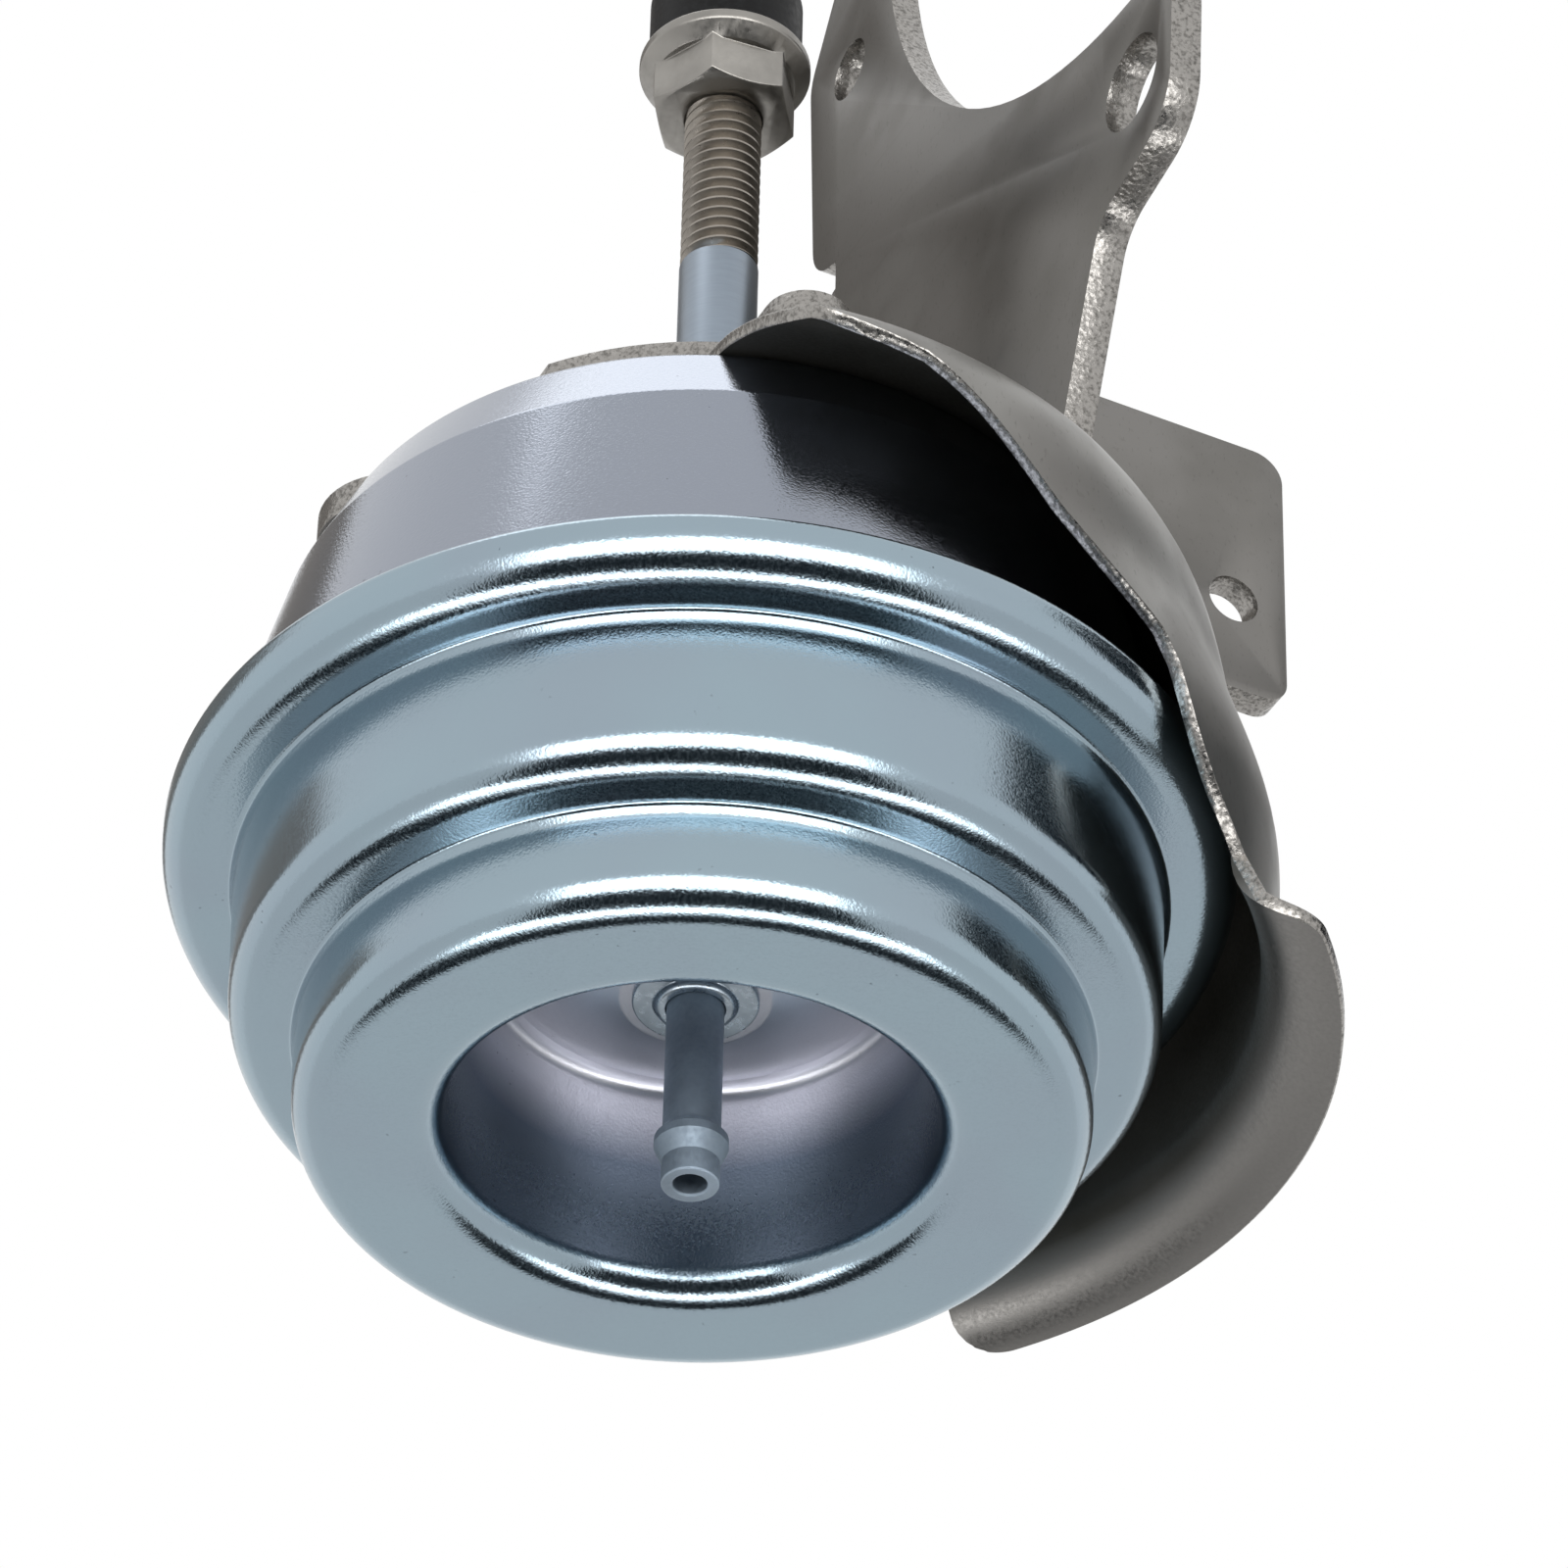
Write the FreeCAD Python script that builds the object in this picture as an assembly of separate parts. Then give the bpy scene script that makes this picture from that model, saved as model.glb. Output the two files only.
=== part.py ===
import FreeCAD, Part
import math
import os

from FreeCAD import Placement, Rotation, Vector

os.makedirs("parts", exist_ok=True)

# Vacuum actuator that pulls the wastegate lever of a turbocharger.
# The can's axis is Z and the push rod leaves it upwards. Heights in this file are measured from
# the seam between the two cans, and the finished model is lifted by ORIGIN_LIFT, so that the
# origin lies on the axis in the middle of the vacuum nipple's bead.

# Sheet of the two cans
CAN_SHEET = 0.9
SEAM_RADIUS = 38.25
CURL_RADIUS = 1.75
CURL_LIP_RADIUS = SEAM_RADIUS - 2.15
# The sheets clamped in the seam end where its flat part ends and the curl starts to bend
CLAMPED_RADIUS = SEAM_RADIUS - CURL_RADIUS

# Lower can, outside surface, as radius and height
STEP_RADIUS = SEAM_RADIUS - 5.5
STEP_DEPTH = 15.1
WALL_DRAFT = 0.9
RING_RADIUS = STEP_RADIUS - 4.85
RING_DRAFT = 0.5
FRONT_DEPTH = 23.9
MOUTH_RADIUS = RING_RADIUS - 10.3
RECESS_FLOOR_RADIUS = MOUTH_RADIUS - 2.1
RECESS_FLOOR_DEPTH = 7.6
HUB_FLAT_RADIUS = 5.4
HUB_FLAT_DEPTH = 11.0

# Upper can, outside surface
UPPER_FOOT_RADIUS = SEAM_RADIUS - 2.45
SHOULDER_LOW_RADIUS = UPPER_FOOT_RADIUS - 5.1
SHOULDER_LOW_HEIGHT = 20.4
SHOULDER_TOP_RADIUS = SHOULDER_LOW_RADIUS - 2.8
CAN_TOP = 24.85

# Vacuum nipple and its collar
NIPPLE_RADIUS = 2.05
NIPPLE_BORE_RADIUS = 1.2
NIPPLE_TIP_DEPTH = 27.1
NIPPLE_BEAD_RADIUS = 2.62
NIPPLE_BEAD_DEPTH = 23.25
NIPPLE_BEAD_BAND = 0.65
NIPPLE_BEAD_TAPER = 1.35
NIPPLE_FLARE_RADIUS = 3.4
NIPPLE_FLARE_THICKNESS = 0.6
COLLAR_RADIUS = 4.5
COLLAR_FLANGE = 0.4
COLLAR_HUB_RADIUS = 2.95
COLLAR_HUB = 0.5

# Push rod, its threaded end set out from the upper face of the lock nut
NUT_TOP = 79.4
ROD_RADIUS = 3.0
ROD_THREAD_START = NUT_TOP - 21.4
ROD_THREAD_RELIEF = 0.05
ROD_TOP = NUT_TOP + 11.6
ROD_TAIL_RADIUS = 2.2
ROD_RIVET_RADIUS = 3.8
ROD_RIVET_HEIGHT = 1.1

# Piston stack on the rod's tail, from the bottom up, over the coils of the return spring
SPRING_RADIUS = (RING_RADIUS + MOUTH_RADIUS) / 2.0 - 0.35
PISTON_TOP = 18.2
PISTON_PLATE_SHEET = 1.2
DIAPHRAGM_SHEET = 0.8
CUP_SHEET = 1.0
CUP_RADIUS = SPRING_RADIUS + 3.6
PISTON_PLATE_RADIUS = CUP_RADIUS - 1.5
CUP_DEPTH = 12.0
WASHER_SHEET = 1.0
WASHER_RADIUS = 6.5

# Diaphragm between the seam and the piston
ROLL_OUTER_RADIUS = STEP_RADIUS - 0.55
ROLL_DEPTH = 5.4
CUP_TO_DIAPHRAGM = 0.3

# Return spring
SPRING_WIRE = 2.3
SPRING_TURNS = 5.5
SPRING_SEAT_GAP = 0.1
SPRING_END_INSET = 0.6

# Rod guide in the top of the upper can
BUSH_RADIUS = 5.0
BUSH_FLANGE_RADIUS = 8.0
BUSH_FLANGE = 1.6
BUSH_TOP = 28.6
BUSH_STOP_GAP = 0.3
ROD_RUNNING_CLEARANCE = 0.05
FIT_CLEARANCE = 0.1
GUIDE_CAP_SHEET = 0.8
GUIDE_CAP_RADIUS = 7.6
SEAL_HEIGHT = 1.6

# Heat shield, a bell whose rings move sideways along X from the top down to the lip.
# Each ring is height, shift of its centre and outside radius.
SHIELD_SHEET = 1.0
SHIELD_DISC_RADIUS = SHOULDER_TOP_RADIUS - 2.9
SHIELD_FLAT_RING = (0.0, SHOULDER_TOP_RADIUS + 0.9)
SHIELD_WALL_RADIUS = SEAM_RADIUS + 0.15
SHIELD_SHOULDER_RINGS = (
    (22.3, -3.4, SHIELD_WALL_RADIUS - 3.2),
    (21.2, -3.6, SHIELD_WALL_RADIUS - 0.9),
    (20.5, -3.5, SHIELD_WALL_RADIUS - 0.1),
    (19.4, -3.2, SHIELD_WALL_RADIUS + 0.2),
)
SHIELD_WALL_RINGS = (
    (1.0, 3.2, SHIELD_WALL_RADIUS + 0.1),
    (-3.0, 3.1, SHIELD_WALL_RADIUS),
    (-7.7, 2.7, SHIELD_WALL_RADIUS),
)
SHIELD_FLARE = 4.8
SHIELD_FLARE_STEPS = 8
# Trimmed edge on the near side, as X and height from the flared lip up to the flat top
SHIELD_TRIM = (
    (24.2, -5.3),
    (21.2, -0.9),
    (19.0, 4.6),
    (13.0, 7.6),
    (2.6, 15.3),
    (-2.4, 18.8),
    (-8.4, 19.5),
    (-10.7, 22.0),
    (-12.0, 25.0),
)
SHIELD_TRIM_FAR_SHIFT = 4.6
SHIELD_LIP_NEAR_ANGLE = -48.8
SHIELD_LIP_FAR_ANGLE = 38.9
SHIELD_LIP_CORNER = 3.5
CENTRE_HOLE_RADIUS = 9.0

# Bracket, one folded sheet
BRACKET_SHEET = 2.5
BRACKET_DISC_RADIUS = SHIELD_DISC_RADIUS + 0.4
BRACKET_LEFT_EDGE = 5.0 - BRACKET_DISC_RADIUS
BRACKET_BEND_RADIUS = 1.4
PLATE_FACE = 17.0
TAB_FACE = 15.7
TAB_REACH = 58.1
TAB_TOP = 75.0
TAB_BOTTOM = 49.6
TAB_CORNER = 2.6
TAB_HOLE_RADIUS = 2.2
TAB_HOLE = (53.4, 58.7)
NOTCH_CENTRE = (-35.4, 107.0)
NOTCH_RADIUS = 41.5
NEAR_HOLE = (-33.6, 57.2)
NEAR_HOLE_RADIUS = 3.9
FAR_HOLE = (12.5, 97.2)
FAR_HOLE_RADIUS = 2.65
PLATE_NEAR_FOOT = -22.0
PLATE_STEP = (18.2, 78.0)
NEAR_HORN_RADIUS = 5.5
LUG_CENTRE = (-6.3, -2.6 - BRACKET_DISC_RADIUS)
LUG_RADIUS = 3.2
LEFT_EAR_CENTRE = (BRACKET_LEFT_EDGE - 2.0, 6.0)
LEFT_EAR_RADIUS = 5.8

# Rivets that hold bracket and heat shield on the can
RIVET_CIRCLE_RADIUS = BRACKET_DISC_RADIUS - 5.0
RIVET_ANGLES = (165.0, 258.0, 62.0)
RIVET_RADIUS = 1.9
RIVET_HEAD_RADIUS = 3.2
RIVET_HEAD_HEIGHT = 1.2

# Lock nut and rod end
NUT_ACROSS_FLATS = 10.0
NUT_HEX_HEIGHT = 4.4
NUT_FLANGE_RADIUS = 6.6
NUT_FLANGE_HEIGHT = 1.5
NUT_TURN = -5.5
ROD_END_NECK_RADIUS = 5.9
ROD_END_NECK_HEIGHT = 6.0
ROD_END_WAIST_RADIUS = 4.6
ROD_END_WAIST_START = 9.0
EYE_HEIGHT = NUT_TOP + 21.1
EYE_RING_RADIUS = 8.6
EYE_WIDTH = 7.6
EYE_SEAT_RADIUS = 5.6
EYE_BUSH_WIDTH = 9.0
EYE_BORE_RADIUS = 3.05

SKIM = 0.02
ORIGIN_LIFT = NIPPLE_BEAD_DEPTH + NIPPLE_BEAD_BAND / 2.0

SHIELD_TOP = CAN_TOP + SHIELD_SHEET
BRACKET_TOP = SHIELD_TOP + BRACKET_SHEET
PLATE_BACK = PLATE_FACE + BRACKET_SHEET
TAB_BACK = TAB_FACE + BRACKET_SHEET
CUP_TOP = PISTON_TOP - PISTON_PLATE_SHEET - DIAPHRAGM_SHEET
CUP_UNDERSIDE = CUP_TOP - CUP_SHEET


def unit(a, b):
    length = math.hypot(b[0] - a[0], b[1] - a[1])
    return ((b[0] - a[0]) / length, (b[1] - a[1]) / length)


def offset_path(points, distance):
    """Points of an open path moved sideways by a distance, to the left when it is positive."""
    moved = []
    for i in range(len(points)):
        before = unit(points[max(i - 1, 0)], points[max(i, 1)])
        after = unit(points[min(i, len(points) - 2)], points[min(i + 1, len(points) - 1)])
        normal_x = -before[1] - after[1]
        normal_y = before[0] + after[0]
        scale = 2.0 * distance / (normal_x ** 2 + normal_y ** 2)
        moved.append((points[i][0] + normal_x * scale, points[i][1] + normal_y * scale))
    return moved


def turn_sign(a, b, c):
    return (b[0] - a[0]) * (c[1] - b[1]) - (b[1] - a[1]) * (c[0] - b[0])


def rounded_wire(points, radii, place):
    """Closed wire through 2D points, with a tangent arc of the given radius at each corner."""
    count = len(points)
    starts = []
    arcs = []
    for i in range(count):
        corner = points[i]
        before = unit(corner, points[i - 1])
        after = unit(corner, points[(i + 1) % count])
        dot = max(-1.0, min(1.0, before[0] * after[0] + before[1] * after[1]))
        half = math.acos(dot) / 2.0
        if radii[i] < SKIM:
            starts.append((corner, corner))
            arcs.append(None)
            continue
        reach = radii[i] / math.tan(half)
        enter = (corner[0] + before[0] * reach, corner[1] + before[1] * reach)
        leave = (corner[0] + after[0] * reach, corner[1] + after[1] * reach)
        middle = unit((0.0, 0.0), (before[0] + after[0], before[1] + after[1]))
        depth = radii[i] / math.sin(half) - radii[i]
        arcs.append((corner[0] + middle[0] * depth, corner[1] + middle[1] * depth))
        starts.append((enter, leave))
    edges = []
    for i in range(count):
        if arcs[i] is not None:
            edges.append(Part.Arc(place(starts[i][0]), place(arcs[i]), place(starts[i][1])).toShape())
        a = place(starts[i][1])
        b = place(starts[(i + 1) % count][0])
        if a.distanceToPoint(b) > 0.001:
            edges.append(Part.LineSegment(a, b).toShape())
    return Part.Wire(edges)


def in_section(point):
    return Vector(point[0], 0.0, point[1])


def revolved(points, radii):
    face = Part.Face(rounded_wire(points, radii, in_section))
    return face.revolve(Vector(0, 0, 0), Vector(0, 0, 1), 360)


def sheet_of_revolution(path, radii, thickness):
    """Pressed sheet: the path is its outside surface and the sheet lies to the path's left."""
    inner = offset_path(path, thickness)
    inner_radii = [0.0]
    for i in range(1, len(path) - 1):
        left_turn = turn_sign(path[i - 1], path[i], path[i + 1]) > 0
        change = -thickness if left_turn else thickness
        inner_radii.append(max(radii[i] + change, 0.0))
    inner_radii.append(0.0)
    return revolved(path + inner[::-1], radii + inner_radii[::-1])


def plain_ring(inner, outer, low, high):
    points = [(inner, low), (outer, low), (outer, high), (inner, high)]
    return revolved(points, [0.0, 0.0, 0.0, 0.0])


def cylinder(radius, base, axis, length):
    return Part.makeCylinder(radius, length, Vector(*base), Vector(*axis))


def save(name, shape):
    solid = shape.copy()
    solid.translate(Vector(0, 0, ORIGIN_LIFT))
    solid.exportStep("parts/" + name + ".step")


def lower_can():
    curl_low = -CURL_RADIUS - 0.05
    path = [
        (CURL_LIP_RADIUS, -curl_low),
        (SEAM_RADIUS, -curl_low),
        (SEAM_RADIUS, curl_low),
        (STEP_RADIUS + WALL_DRAFT, curl_low),
        (STEP_RADIUS, -STEP_DEPTH),
        (RING_RADIUS + RING_DRAFT, -STEP_DEPTH),
        (RING_RADIUS, -FRONT_DEPTH),
        (MOUTH_RADIUS, -FRONT_DEPTH),
        (RECESS_FLOOR_RADIUS, -RECESS_FLOOR_DEPTH),
        (RECESS_FLOOR_RADIUS - 1.4, -RECESS_FLOOR_DEPTH),
        (HUB_FLAT_RADIUS, -HUB_FLAT_DEPTH),
        (NIPPLE_RADIUS + FIT_CLEARANCE, -HUB_FLAT_DEPTH),
    ]
    radii = [0.0, CURL_RADIUS, CURL_RADIUS, 2.2, 2.2, 2.0, 2.6, 2.6, 1.0, 0.3, 0.6, 0.0]
    return sheet_of_revolution(path, radii, -CAN_SHEET)


def upper_can():
    path = [
        (CLAMPED_RADIUS, CAN_SHEET),
        (UPPER_FOOT_RADIUS, CAN_SHEET),
        (SHOULDER_LOW_RADIUS, SHOULDER_LOW_HEIGHT),
        (SHOULDER_TOP_RADIUS, CAN_TOP),
        (BUSH_RADIUS + FIT_CLEARANCE, CAN_TOP),
    ]
    radii = [0.0, 0.3, 4.0, 3.0, 0.0]
    can = sheet_of_revolution(path, radii, CAN_SHEET)
    return cut_rivet_holes(can)


def rivet_places():
    places = []
    for degrees in RIVET_ANGLES:
        angle = math.radians(degrees)
        places.append((RIVET_CIRCLE_RADIUS * math.cos(angle), RIVET_CIRCLE_RADIUS * math.sin(angle)))
    return places


def cut_rivet_holes(shape):
    for x, y in rivet_places():
        hole = cylinder(RIVET_RADIUS + FIT_CLEARANCE, (x, y, CAN_TOP - 5.0), (0, 0, 1), 15.0)
        shape = shape.cut(hole)
    return shape


def rivet(x, y):
    inside = CAN_TOP - CAN_SHEET
    length = BRACKET_TOP - inside
    shank = cylinder(RIVET_RADIUS, (x, y, inside), (0, 0, 1), length)
    low_head = cylinder(RIVET_HEAD_RADIUS, (x, y, inside - RIVET_HEAD_HEIGHT), (0, 0, 1), RIVET_HEAD_HEIGHT)
    high_head = cylinder(RIVET_HEAD_RADIUS, (x, y, BRACKET_TOP), (0, 0, 1), RIVET_HEAD_HEIGHT)
    rim = [edge for edge in high_head.Edges if edge.BoundBox.ZMin > BRACKET_TOP + 0.1]
    high_head = high_head.makeFillet(RIVET_HEAD_HEIGHT * 0.7, rim)
    return shank.fuse([low_head, high_head]).removeSplitter()


def vacuum_nipple():
    foot = -HUB_FLAT_DEPTH + CAN_SHEET
    bead_end = -NIPPLE_BEAD_DEPTH - NIPPLE_BEAD_BAND
    points = [
        (NIPPLE_BORE_RADIUS, foot + NIPPLE_FLARE_THICKNESS),
        (NIPPLE_FLARE_RADIUS, foot + NIPPLE_FLARE_THICKNESS),
        (NIPPLE_FLARE_RADIUS, foot),
        (NIPPLE_RADIUS, foot),
        (NIPPLE_RADIUS, -NIPPLE_BEAD_DEPTH + 0.5),
        (NIPPLE_BEAD_RADIUS, -NIPPLE_BEAD_DEPTH),
        (NIPPLE_BEAD_RADIUS, bead_end),
        (NIPPLE_RADIUS, bead_end - NIPPLE_BEAD_TAPER),
        (NIPPLE_RADIUS, -NIPPLE_TIP_DEPTH),
        (NIPPLE_BORE_RADIUS, -NIPPLE_TIP_DEPTH),
    ]
    radii = [0.3, 0.0, 0.0, 0.0, 0.8, 0.0, 0.0, 0.0, 0.15, 0.2]
    return revolved(points, radii)


def nipple_collar():
    top = -HUB_FLAT_DEPTH
    flange = top - COLLAR_FLANGE
    hub = flange - COLLAR_HUB
    inner = NIPPLE_RADIUS + ROD_RUNNING_CLEARANCE
    points = [
        (inner, top),
        (COLLAR_RADIUS, top),
        (COLLAR_RADIUS, flange),
        (COLLAR_HUB_RADIUS, flange),
        (COLLAR_HUB_RADIUS, hub),
        (inner, hub),
    ]
    return revolved(points, [0.0, 0.0, 0.15, 0.15, 0.45, 0.1])


def push_rod():
    stack_bottom = CUP_UNDERSIDE - WASHER_SHEET
    thread = ROD_RADIUS - ROD_THREAD_RELIEF
    rivet_bottom = stack_bottom - ROD_RIVET_HEIGHT
    points = [
        (0.0, rivet_bottom),
        (ROD_RIVET_RADIUS, rivet_bottom),
        (ROD_RIVET_RADIUS, stack_bottom),
        (ROD_TAIL_RADIUS, stack_bottom),
        (ROD_TAIL_RADIUS, PISTON_TOP),
        (ROD_RADIUS, PISTON_TOP),
        (ROD_RADIUS, ROD_THREAD_START),
        (thread, ROD_THREAD_START + 0.2),
        (thread, ROD_TOP - 0.8),
        (thread - 0.8, ROD_TOP),
        (0.0, ROD_TOP),
    ]
    radii = [0.0, 0.7] + [0.0] * 9
    return revolved(points, radii)


def piston_plate():
    hole = ROD_TAIL_RADIUS + FIT_CLEARANCE
    bottom = PISTON_TOP - PISTON_PLATE_SHEET
    plate = plain_ring(hole, PISTON_PLATE_RADIUS, bottom, PISTON_TOP)
    rim = [edge for edge in plate.Edges if edge.BoundBox.XLength > 2 * PISTON_PLATE_RADIUS - 1.0]
    return plate.makeFillet(PISTON_PLATE_SHEET * 0.4, rim)


def piston_cup():
    path = [
        (ROD_TAIL_RADIUS + FIT_CLEARANCE, CUP_TOP),
        (CUP_RADIUS, CUP_TOP),
        (CUP_RADIUS, CUP_TOP - CUP_DEPTH),
    ]
    return sheet_of_revolution(path, [0.0, 2.2, 0.0], -CUP_SHEET)


def piston_washer():
    return plain_ring(ROD_TAIL_RADIUS + FIT_CLEARANCE, WASHER_RADIUS, CUP_UNDERSIDE - WASHER_SHEET, CUP_UNDERSIDE)


def diaphragm():
    clamp_low = -CURL_RADIUS - 0.05 + CAN_SHEET
    inner_leg = CUP_RADIUS + CUP_TO_DIAPHRAGM
    path = [
        (CLAMPED_RADIUS, clamp_low),
        (ROLL_OUTER_RADIUS, clamp_low),
        (ROLL_OUTER_RADIUS - 0.3, -ROLL_DEPTH),
        (inner_leg, -ROLL_DEPTH),
        (inner_leg, CUP_TOP),
        (ROD_TAIL_RADIUS + FIT_CLEARANCE, CUP_TOP),
    ]
    roll = (ROLL_OUTER_RADIUS - inner_leg) / 2.0 - 0.3
    return sheet_of_revolution(path, [0.0, 1.7, roll, roll, 2.4, 0.0], -DIAPHRAGM_SHEET)


def return_spring():
    """Closed end coils as plain rings, with the working coils wound between them."""
    half_wire = SPRING_WIRE / 2.0
    low = -FRONT_DEPTH + CAN_SHEET + SPRING_SEAT_GAP + half_wire
    high = CUP_UNDERSIDE - SPRING_SEAT_GAP - half_wire
    rise = high - low - 2.0 * SPRING_END_INSET
    helix = Part.makeHelix(rise / SPRING_TURNS, rise, SPRING_RADIUS)
    section = Part.Wire(Part.makeCircle(half_wire, Vector(SPRING_RADIUS, 0, 0), Vector(0, 1, 0)))
    coil = Part.Wire(helix).makePipeShell([section], True, True)
    coil.translate(Vector(0, 0, low + SPRING_END_INSET))
    rings = [Part.makeTorus(SPRING_RADIUS, half_wire, Vector(0, 0, height)) for height in (low, high)]
    return coil.fuse(rings)


def rod_guide_bush():
    bore = ROD_RADIUS + ROD_RUNNING_CLEARANCE
    flange_top = CAN_TOP - CAN_SHEET
    points = [
        (bore, PISTON_TOP + BUSH_STOP_GAP),
        (BUSH_RADIUS + 1.0, PISTON_TOP + BUSH_STOP_GAP),
        (BUSH_RADIUS + 1.0, flange_top - BUSH_FLANGE),
        (BUSH_FLANGE_RADIUS, flange_top - BUSH_FLANGE),
        (BUSH_FLANGE_RADIUS, flange_top),
        (BUSH_RADIUS, flange_top),
        (BUSH_RADIUS, BUSH_TOP),
        (bore, BUSH_TOP),
    ]
    return revolved(points, [0.3, 0.5, 0.5, 0.3, 0.0, 0.0, 0.3, 0.3])


def guide_cap():
    inside = BUSH_TOP + SEAL_HEIGHT
    bore = BUSH_RADIUS + FIT_CLEARANCE
    wall = bore + GUIDE_CAP_SHEET
    opening = ROD_RADIUS + 0.6
    points = [
        (bore, CAN_TOP),
        (GUIDE_CAP_RADIUS, CAN_TOP),
        (GUIDE_CAP_RADIUS, CAN_TOP + GUIDE_CAP_SHEET),
        (wall, CAN_TOP + GUIDE_CAP_SHEET),
        (wall, inside + GUIDE_CAP_SHEET),
        (opening, inside + GUIDE_CAP_SHEET),
        (opening, inside),
        (bore, inside),
    ]
    return revolved(points, [0.0, 0.0, 0.3, 0.4, 0.8, 0.0, 0.0, 0.0])


def rod_seal():
    lip = ROD_RADIUS + ROD_RUNNING_CLEARANCE
    body = BUSH_RADIUS
    points = [
        (lip + 0.9, BUSH_TOP),
        (body, BUSH_TOP),
        (body, BUSH_TOP + SEAL_HEIGHT),
        (lip, BUSH_TOP + SEAL_HEIGHT),
        (lip, BUSH_TOP + SEAL_HEIGHT - 0.5),
    ]
    return revolved(points, [0.0, 0.0, 0.0, 0.0, 0.1])


def bell_rings(inset):
    """Rings of the bell from the lip up to the flat, moved inwards by the inset."""
    low_height, low_shift, low_radius = SHIELD_WALL_RINGS[-1]
    radius = SHIELD_FLARE + inset
    rings = []
    for i in range(SHIELD_FLARE_STEPS, 0, -1):
        angle = math.pi / 2.0 * i / SHIELD_FLARE_STEPS
        height = low_height - radius * math.sin(angle)
        rings.append((height, low_shift, low_radius - inset + radius * (1.0 - math.cos(angle))))
    for height, shift, outside in SHIELD_WALL_RINGS[::-1] + SHIELD_SHOULDER_RINGS[::-1]:
        rings.append((height, shift, outside - inset))
    rings.append((SHIELD_TOP - inset, SHIELD_FLAT_RING[0], SHIELD_FLAT_RING[1] - inset * 0.5))
    return rings


def lofted(rings):
    wires = [Part.Wire(Part.makeCircle(radius, Vector(shift, 0, height))) for height, shift, radius in rings]
    return Part.makeLoft(wires, True, True)


def in_plan(point):
    return Vector(point[0], point[1], SHIELD_WALL_RINGS[-1][0])


def lip_point(degrees, beyond):
    """Point in plan at an angle round the lip's centre, outside the wall by the given distance."""
    height, shift, radius = SHIELD_WALL_RINGS[-1]
    angle = math.radians(degrees)
    return (shift + (radius + beyond) * math.cos(angle), (radius + beyond) * math.sin(angle))


def trim_block(start, shift, lip_angle):
    """What the trimming keeps above the flare: the side of the slanting edge that looks along +X."""
    reach = 100.0
    wall_low = SHIELD_WALL_RINGS[-1][0]
    slant = [(x + shift, height) for x, height in SHIELD_TRIM]
    above = (slant[-1][0] - 1.5, CAN_TOP + 5.0)
    edge = [(lip_point(lip_angle, 0.0)[0], wall_low)] + slant + [above, (reach, above[1]), (reach, wall_low)]
    outline = [Vector(x, start, height) for x, height in edge]
    return Part.Face(Part.makePolygon(outline + outline[:1])).extrude(Vector(0, reach, 0))


def lip_block():
    """What the trimming keeps of the flare: the part between two radial cuts, with rounded corners."""
    near = SHIELD_LIP_NEAR_ANGLE
    far = SHIELD_LIP_FAR_ANGLE
    outline = [
        (SHIELD_WALL_RINGS[-1][1], 0.0),
        lip_point(near, SHIELD_FLARE - 0.2),
        lip_point(near + 24.0, SHIELD_FLARE * 2.0),
        lip_point(far - 24.0, SHIELD_FLARE * 2.0),
        lip_point(far, SHIELD_FLARE - 0.2),
    ]
    wire = rounded_wire(outline, [0.0, SHIELD_LIP_CORNER, 0.0, 0.0, SHIELD_LIP_CORNER], in_plan)
    return Part.Face(wire).extrude(Vector(0, 0, -SHIELD_FLARE - SHIELD_SHEET - 1.0))


def heat_shield():
    """Bell over the side of the can that faces the hot housing, trimmed along a slanting edge."""
    bell = lofted(bell_rings(0.0))
    hollow = lofted(bell_rings(SHIELD_SHEET))
    bell = bell.cut(hollow)
    near_side = trim_block(-100.0, 0.0, SHIELD_LIP_NEAR_ANGLE)
    far_side = trim_block(0.0, SHIELD_TRIM_FAR_SHIFT, SHIELD_LIP_FAR_ANGLE)
    keep = near_side.fuse([far_side, lip_block()])
    disc = plain_ring(CENTRE_HOLE_RADIUS, SHIELD_DISC_RADIUS, CAN_TOP, SHIELD_TOP)
    hole = cylinder(CENTRE_HOLE_RADIUS, (0, 0, CAN_TOP - 1), (0, 0, 1), 5.0)
    bell = bell.common(keep).cut(hole)
    return cut_rivet_holes(bell.fuse(disc)).removeSplitter()


def on_plate(point):
    return Vector(PLATE_FACE, point[0], point[1])


def beside(hole, along, up):
    return (hole[0] + along, hole[1] + up)


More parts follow.
